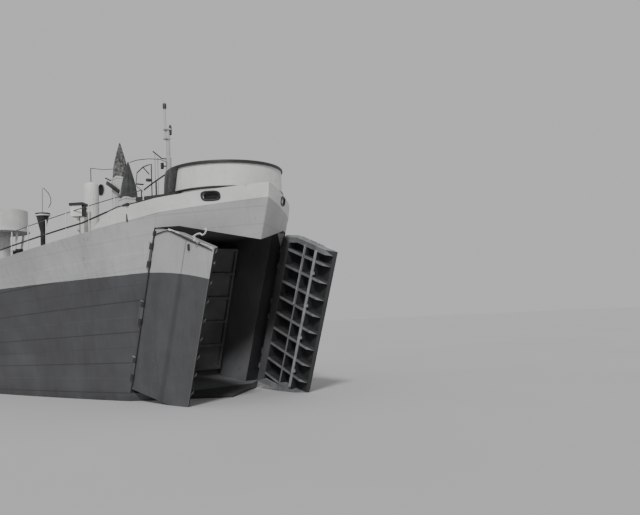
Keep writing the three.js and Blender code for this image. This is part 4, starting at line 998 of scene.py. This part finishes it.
def screen_point(rise, along):
    """A point of the gate screen: its forward edge leans ahead with height and its foot stands off the tub."""
    first = math.radians(-156)
    last = math.radians(-87 + 6.5 * rise)
    angle = first + (last - first) * along
    folds = 0.035 * abs(math.sin(5 * math.pi * along)) * math.sin(math.pi * (0.15 + 0.7 * rise))
    loose = 0.09 * (1 - rise) * math.exp(-(((along - 0.62) / 0.16) ** 2))
    return tub_arc(angle, BOW_TUB_RADIUS + 0.085 + folds + loose, SCREEN_FOOT + SCREEN_RISE * rise)


# The gate screen is painted shade on the after side of the tub.
shape = bmesh.new()
shares = [column / SCREEN_COLUMNS for column in range(SCREEN_COLUMNS + 1)]
places = [[screen_point(row / SCREEN_ROWS, share) for share in shares] for row in range(SCREEN_ROWS + 1)]
loft(shape, [[shape.verts.new(place) for place in row] for row in places], capped=False, round_about=False)
screen = seat(shape, "gate_screen", painted_shade_canvas)

# %% [markdown]
# ## Foredeck fittings
# The deck abaft the tub is crowded with thin gear that reads as a tangle from the quay: a folded boat boom, a cowl
# ventilator whose dark mouth faces the bow, an awning spar lashed against the white trunk, signal halyards, a wire
# between the vent and the windsail, and a lantern hung at the mast's doubling. Each is bar or turned work.

# %% Vent mouth, spar, boom and wires
shape = bmesh.new()
mouth = Vector((40.02, -3.2, 11.25))
mouth_axis = Vector((0.82, 0.57, -0.08)).normalized()
flare = ((0.10, -0.5), (0.14, -0.3), (0.22, -0.14), (0.30, -0.02), (0.31, 0.02), (0.285, 0.02), (0.25, -0.03))
turned(shape, mouth, flare, mouth_axis)
bar(shape, ((39.6, -3.45, 9.0), (39.6, -3.45, 10.95), (39.66, -3.42, 11.2), mouth - mouth_axis * 0.3), 0.12, 12)
seat(shape, "cowl_vent_neck", shield_enamel)
shape = bmesh.new()
turned(shape, mouth - mouth_axis * 0.02, ((0.26, 0.0), (0.26, 0.015), (0.02, 0.03)), mouth_axis)
seat(shape, "cowl_vent_mouth", black_enamel)

shape = bmesh.new()
plate_axis = (Vector((41.15, -2.72, 11.02)) - Vector((39.62, -2.72, 11.73))).normalized()
spar_up = plate_axis.cross(Vector((0, -1, 0)))
plate(shape, (40.38, -2.74, 11.38), (1.6, 0.1, 0.2), (plate_axis, spar_up.cross(plate_axis), spar_up), 0.03)
bar(shape, ((39.55, -2.76, 11.97), (39.85, -2.76, 11.86), (40.15, -2.76, 11.74)), 0.035)
seat(shape, "awning_spar", black_enamel)

shape = bmesh.new()
boom_points = [(42.5, y, z) for y, z in ((-2.43, 11.72), (-2.12, 12.02), (-1.9, 12.13), (-1.68, 12.2), (-1.69, 11.86))]
bar(shape, boom_points, 0.035)
bar(shape, ((42.5, -2.12, 12.02), (42.5, -1.8, 11.7)), 0.025)
bar(shape, ((42.5, -1.69, 11.9), (42.5, -1.69, 8.95)), 0.03)
bar(shape, ((42.5, -2.43, 11.72), (42.5, -2.5, 11.1), (42.6, -2.3, 10.9)), 0.02)
plate(shape, (42.5, -1.85, 11.42), (0.16, 0.24, 0.14), edge=0.03)
plate(shape, (42.9, -2.48, 11.1), (0.1, 0.36, 0.06), edge=0.02)
seat(shape, "folded_boom", wire_steel)

shape = bmesh.new()
bar(shape, ((40.8, -4.0, 11.36), (40.8, -4.0, 12.12)), 0.022)
bar(shape, ((40.8, -4.0, 12.12), (40.55, -3.3, 12.16), (40.35, -2.6, 12.3)), 0.016, 5)
wire_points = [(41.5, y, z) for y, z in ((-2.35, 12.42), (-2.0, 12.56), (-1.72, 12.63), (-1.34, 12.7), (-0.72, 12.74))]
bar(shape, [*wire_points, (41.05, -0.12, 12.74)], 0.02, 5)
bar(shape, ((41.0, -0.12, 12.92), (41.0, -0.38, 12.92), (41.0, -0.86, 13.24)), 0.03)
bar(shape, ((41.0, -0.6, 12.95), (41.0, -0.62, 8.95)), 0.012, 4)
bar(shape, ((41.0, -0.75, 13.1), (41.0, -0.78, 8.95)), 0.012, 4)
seat(shape, "signal_wires", wire_steel)

shape = bmesh.new()
plate(shape, (41.0, -0.36, 12.54), (0.16, 0.13, 0.32), edge=0.02)
bar(shape, ((41.0, -0.1, 12.54), (41.0, -0.36, 12.54)), 0.03)
turned(shape, (41.03, 0.13, 14.17), ((0.02, 0.0), (0.075, 0.04), (0.075, 0.44), (0.05, 0.5), (0.01, 0.56)), sides=12)
turned(shape, (40.92, -0.1, 15.55), ((0.095, 0.0), (0.095, 0.24), (0.07, 0.29), (0.01, 0.31)), sides=12)
seat(shape, "mast_lanterns", black_enamel)

# %% [markdown]
# Each cone-shaped ventilator carries a pale ring under its rim and a slim curved iron above it, on which a canvas hood
# can be hoisted. The box on the post has the side that looks ahead and inboard painted black, with a black door on it.

# %% Cowl rings, hood irons and box doors
COWL_X, COWL_Y, COWL_RIM_Z = 37.75, 5.3, 10.2
BOX_TURN = math.radians(44)
COWL_RING = ((0.335, -0.02), (0.362, 0.0), (0.362, 0.05), (0.34, 0.06))
HOOD_IRON = ((0.06, 1.28), (0.3, 1.02), (0.42, 0.74), (0.42, 0.5), (0.3, 0.28))
RAFT_BOX_X, RAFT_BOX_Y = 41.4, 4.85
for side_word, side in SIDES:
    shape = bmesh.new()
    turned(shape, (COWL_X, side * COWL_Y, COWL_RIM_Z - 0.02), COWL_RING)
    seat(shape, f"cowl_ring_{side_word}", shield_enamel)
    shape = bmesh.new()
    lean = Vector((0.62, side * -0.78, 0))
    foot = Vector((COWL_X, side * COWL_Y, COWL_RIM_Z + 0.1))
    bar(shape, [foot + UP * z for z in (0.0, 1.27)], 0.014, 5)
    bar(shape, [foot + lean * away + UP * z for away, z in HOOD_IRON], 0.02, 5)
    seat(shape, f"hood_iron_{side_word}", wire_steel)
    shape = bmesh.new()
    ahead_in = Vector((math.sin(BOX_TURN), -side * math.cos(BOX_TURN), 0))
    beside = ahead_in.cross(UP)
    hinge_side = Vector((RAFT_BOX_X, side * RAFT_BOX_Y, 9.92)) + ahead_in * 0.28
    plate(shape, hinge_side, (0.44, 0.03, 0.42), (beside, ahead_in, UP), 0.01)
    for up in (-0.12, 0.12):
        bar(shape, (hinge_side + UP * up - beside * 0.2, hinge_side + UP * up - beside * 0.27), 0.03, 6)
    seat(shape, f"raft_box_door_{side_word}", black_enamel)

# %% [markdown]
# ## Mooring chocks
# A chock is a hole in the bulwark with a rolled lip all round, so a rope bears on a smooth curve. Points just outside
# the hole are thrown onto the bulwark from the side and drawn in to its edge. A bar swept through them is the lip. It
# is black, as painted shade, so that the hole and its rim read as one dark opening.

# %% Chock lips
bulwark_rays = ray_tree("bulwark")
CHOCK_X, CHOCK_Z, CHOCK_HALF, CHOCK_RISE = 48.22, 9.74, 0.31, 0.21
LIP_SHARE, CORNERS = 0.84, 20


def on_bulwark(x, z, side):
    return Vector((x, side * side_breadth(x, z, side, bulwark_rays), z))


for side_word, side in SIDES:
    shape = bmesh.new()
    loop = []
    for turn in steps(0, 2 * math.pi, 2 * math.pi / CORNERS):
        wide = math.copysign(abs(math.cos(turn)) ** 0.6, math.cos(turn)) * CHOCK_HALF
        tall = math.copysign(abs(math.sin(turn)) ** 0.6, math.sin(turn)) * CHOCK_RISE
        loop.append(on_bulwark(CHOCK_X + wide, CHOCK_Z + tall, side))
    centre = sum(loop[1:], Vector()) / len(loop[1:])
    # Black lip: painted shade that carries the hole's darkness out over the rim.
    bar(shape, [centre.lerp(place, LIP_SHARE) for place in loop], 0.045, 8)
    seat(shape, f"chock_lip_{side_word}", black_enamel)
print("chock lips on the bulwark")

# %% [markdown]
# ## Bow doors
# Along the sloping top edge the skin ends in a thin dark gutter with a pale rim plate over it, and a black strip
# runs down the hinge side as painted shadow of the gap at the hinge. A small bent eye for the hoisting gear stands off
# the top of the starboard door. Inside, a heavy rod and a light one run up the ribs' caps.


# %% Door fittings
def door_strip(shape, side, corners, low_off, high_off):
    """A flat strip on the door between (share, height) corners, from one distance off the skin to another."""
    inner = [shape.verts.new(door_point(side, share, z, low_off)) for share, z in corners]
    outer = [shape.verts.new(door_point(side, share, z, high_off)) for share, z in corners]
    shape.faces.new(inner)
    shape.faces.new(outer)
    for index in range(len(corners)):
        after = (index + 1) % len(corners)
        shape.faces.new((inner[index], inner[after], outer[after], outer[index]))


GUTTER_TOP = ((0.245, 8.5), (0.307, 8.45), (0.614, 8.13), (0.774, 7.98), (0.97, 7.8))
GUTTER = ((0.03, 8.33), (0.078, 8.37), (0.173, 8.46), *GUTTER_TOP)
EYE_BEND = ((0.867, 8.33), (0.9, 8.39), (0.912, 8.5), (0.902, 8.57), (0.884, 8.53))
EYE_FOOT = ((0.75, 8.0, 0.0), (0.76, 8.16, 0.22), (0.75, 8.3, 0.25))
HOIST_EYE = ((0.734, 8.27), (0.787, 8.37), (0.83, 8.39), *EYE_BEND)
for side_word, side in SIDES:
    body = f"bow_door_{side_word}"
    shape = bmesh.new()
    for (near, low), (far, high) in zip(GUTTER_TOP, GUTTER_TOP[1:]):
        strip = ((near, low), (far, high), (far, door_top(far) + 0.035), (near, door_top(near) + 0.035))
        door_strip(shape, side, strip, -0.01, 0.025)
    seat(shape, f"door_rim_plate_{side_word}", shield_enamel, body)

    shape = bmesh.new()
    bar(shape, [door_point(side, share, z - 0.01, 0.03) for share, z in GUTTER], 0.024)
    # Black strip down the hinge side: painted shadow of the hinge gap.
    door_strip(shape, side, ((0.014, 1.9), (0.032, 1.9), (0.032, 8.4), (0.014, 8.4)), -0.01, 0.04)
    door_strip(shape, side, ((0.012, 8.28), (0.045, 8.28), (0.045, 8.46), (0.012, 8.46)), 0.0, 0.07)
    plate(shape, door_point(side, 0.62, 7.86, 0.03), (0.1, 0.1, 0.26), edge=0.03)
    seat(shape, f"door_gutter_{side_word}", black_enamel, body)

    shape = bmesh.new()
    bar(shape, [door_point(side, 0.775, z, -0.46) for z in (1.9, 4.0, 6.0, 7.86)], 0.07, 8)
    bar(shape, [door_point(side, 0.56, z, -0.45) for z in (5.5, 6.7, 8.1)], 0.035, 6)
    for z in (2.6, 4.1, 5.5, 6.9):
        plate(shape, door_point(side, 0.775, z, -0.43), (0.16, 0.16, 0.16), edge=0.02)
    # The starboard door's rods take the pockets' painted shade, and the port door's keep their rubbed enamel.
    seat(shape, f"door_rods_{side_word}", rod_enamel if side > 0 else pocket_painted_shade, body)
shape = bmesh.new()
bar(shape, [door_point(-1, share, z, 0.25) for share, z in HOIST_EYE], 0.032, 8)
bar(shape, [door_point(-1, share, z, off) for share, z, off in EYE_FOOT], 0.032, 8)
seat(shape, "door_hoist_eye", shield_enamel, "bow_door_starboard")
print("door fittings on", len(door_skins), "doors")

# %% [markdown]
# ## Houses aft
# The photograph stops short of the houses, so their fittings are the usual ones of such a ship. Portholes are brass
# rims with dark glass, doors are low steel plates with dogs, and the wheelhouse has a row of square windows. Each is
# thrown onto the house wall by a ray, so it lies flat on whatever wall is there.

# %% Portholes, windows and doors
house_rays = ray_tree("deckhouse", "upper_house", "wheelhouse")
PORTHOLE = ((0.2, 0.0), (0.2, 0.035), (0.17, 0.05), (0.135, 0.03), (0.13, 0.0))
PORTHOLE_GLASS = ((0.135, 0.0), (0.135, 0.02), (0.01, 0.024))


def on_wall(x, z, side):
    """Where the house wall is, beside a place, and the way out from it."""
    return shoot(house_rays, Vector((x, side * 7.0, z)), Vector((0, -side, 0))), Vector((0, side, 0))


def on_front(y, z):
    return shoot(house_rays, Vector((-15.0, y, z)), Vector((-1, 0, 0))), Vector((1, 0, 0))


for side_word, side in SIDES:
    spots = [on_wall(x, 9.15, side) for x in (-38.2, -36.0, -31.6, -29.4, -27.2, -23.0)]
    spots += [on_wall(x, 11.75, side) for x in (-34.9, -32.7, -28.3, -26.1)]
    spots += [on_front(side * y, 9.15) for y in (1.0, 3.0)] + [on_front(side * 1.6, 11.75)]
    rims, panes = bmesh.new(), bmesh.new()
    for place, out_of in spots:
        turned(rims, place, PORTHOLE, out_of, 16)
        turned(panes, place, PORTHOLE_GLASS, out_of, 16)
    seat(rims, f"porthole_rims_{side_word}", bronze)
    seat(panes, f"porthole_glass_{side_word}", glass_dark)

    doors, dogs = bmesh.new(), bmesh.new()
    for x, z in ((-34.0, 8.85), (-25.2, 8.85), (-30.5, 11.4)):
        wall, out_of = on_wall(x, z, side)
        plate(doors, wall + out_of * 0.03, (0.78, 0.07, 1.7), edge=0.03)
        plate(doors, wall + out_of * 0.05 - UP * 0.95, (0.9, 0.22, 0.05))
        for up in (-0.6, 0.0, 0.6):
            pivot = wall + out_of * 0.09 + Vector((0.3, 0, up))
            bar(dogs, (pivot, pivot + Vector((0.12, 0, 0.1))), 0.02)
    seat(doors, f"house_doors_{side_word}", topside_enamel)
    seat(dogs, f"door_dogs_{side_word}", machine_grey)

frames, panes = bmesh.new(), bmesh.new()
for spot in [on_front(y, 14.2) for y in (-1.5, -0.75, 0.0, 0.75, 1.5)]:
    plate(frames, spot[0] + spot[1] * 0.01, (0.05, 0.62, 0.62), edge=0.02)
    plate(panes, spot[0] + spot[1] * 0.035, (0.03, 0.48, 0.48), edge=0.01)
for side in (-1, 1):
    for x in (-29.0, -28.0, -27.0):
        wall, out_of = on_wall(x, 14.2, side)
        plate(frames, wall + out_of * 0.01, (0.62, 0.05, 0.62), edge=0.02)
        plate(panes, wall + out_of * 0.035, (0.48, 0.03, 0.48), edge=0.01)
seat(frames, "wheelhouse_window_frames", shield_enamel)
seat(panes, "wheelhouse_windows", glass_dark)
print("fittings thrown onto the houses")

# %% [markdown]
# ## Rails and ladders of the houses
# The roofs of the two lower houses are walked on, so pipe rails fence them. Vertical ladders with round rungs climb
# the walls behind.

# %% House rails, ladders and mast stays
ROOF_RAILS = (("deckhouse", -39.9, -20.6, 5.45, 10.28), ("upper_house", -36.2, -23.5, 4.15, 12.78))


def fence(name, outline):
    """Three rails on posts along an outline of points."""
    posts, rails = bmesh.new(), bmesh.new()
    for near, far in zip(outline, outline[1:]):
        for share in steps(0, 1, 1.9 / (far - near).length):
            foot = near.lerp(far, share)
            bar(posts, (foot, foot + UP * 1.06), 0.03)
        for rise in PIPE_RISES:
            bar(rails, (near + UP * rise, far + UP * rise), 0.022, 5)
    seat(posts, f"{name}_roof_posts", rail_enamel)
    seat(rails, f"{name}_roof_rails", rail_enamel)


def ladder(shape, foot, rise):
    for side in (-0.22, 0.22):
        bar(shape, (foot + Vector((0, side, 0)), foot + Vector((0, side, rise))), 0.03)
    for height in steps(0.25, rise - 0.1, 0.3):
        bar(shape, (foot + Vector((0, -0.22, height)), foot + Vector((0, 0.22, height))), 0.018)


for name, aft, fore, half, roof in ROOF_RAILS:
    corners = ((fore, -half), (aft, -half), (aft, half), (fore, half), (fore, -half))
    fence(name, [Vector((x, y, roof)) for x, y in corners])
shape = bmesh.new()
ladder(shape, Vector((-40.28, 2.6, deck_height(-40.6, 2.6))), 2.9)
ladder(shape, Vector((-36.45, 1.6, 10.28)), 3.1)
ladder(shape, Vector((-30.68, 0.9, 12.78)), 2.9)
seat(shape, "house_ladders", rail_enamel)

shape = bmesh.new()
for side in (-1, 1):
    bar(shape, ((-31.6, side * 0.1, 22.9), (-34.9, side * 4.1, 12.8)), 0.02, 5)
    bar(shape, ((-31.6, side * 0.1, 22.9), (-24.4, side * 4.1, 12.8)), 0.02, 5)
    bar(shape, ((-31.6, side * 2.6, 20.2), (-31.6, side * 4.1, 12.8)), 0.014, 5)
seat(shape, "after_mast_stays", wire_steel)
print("houses railed, after mast stayed")
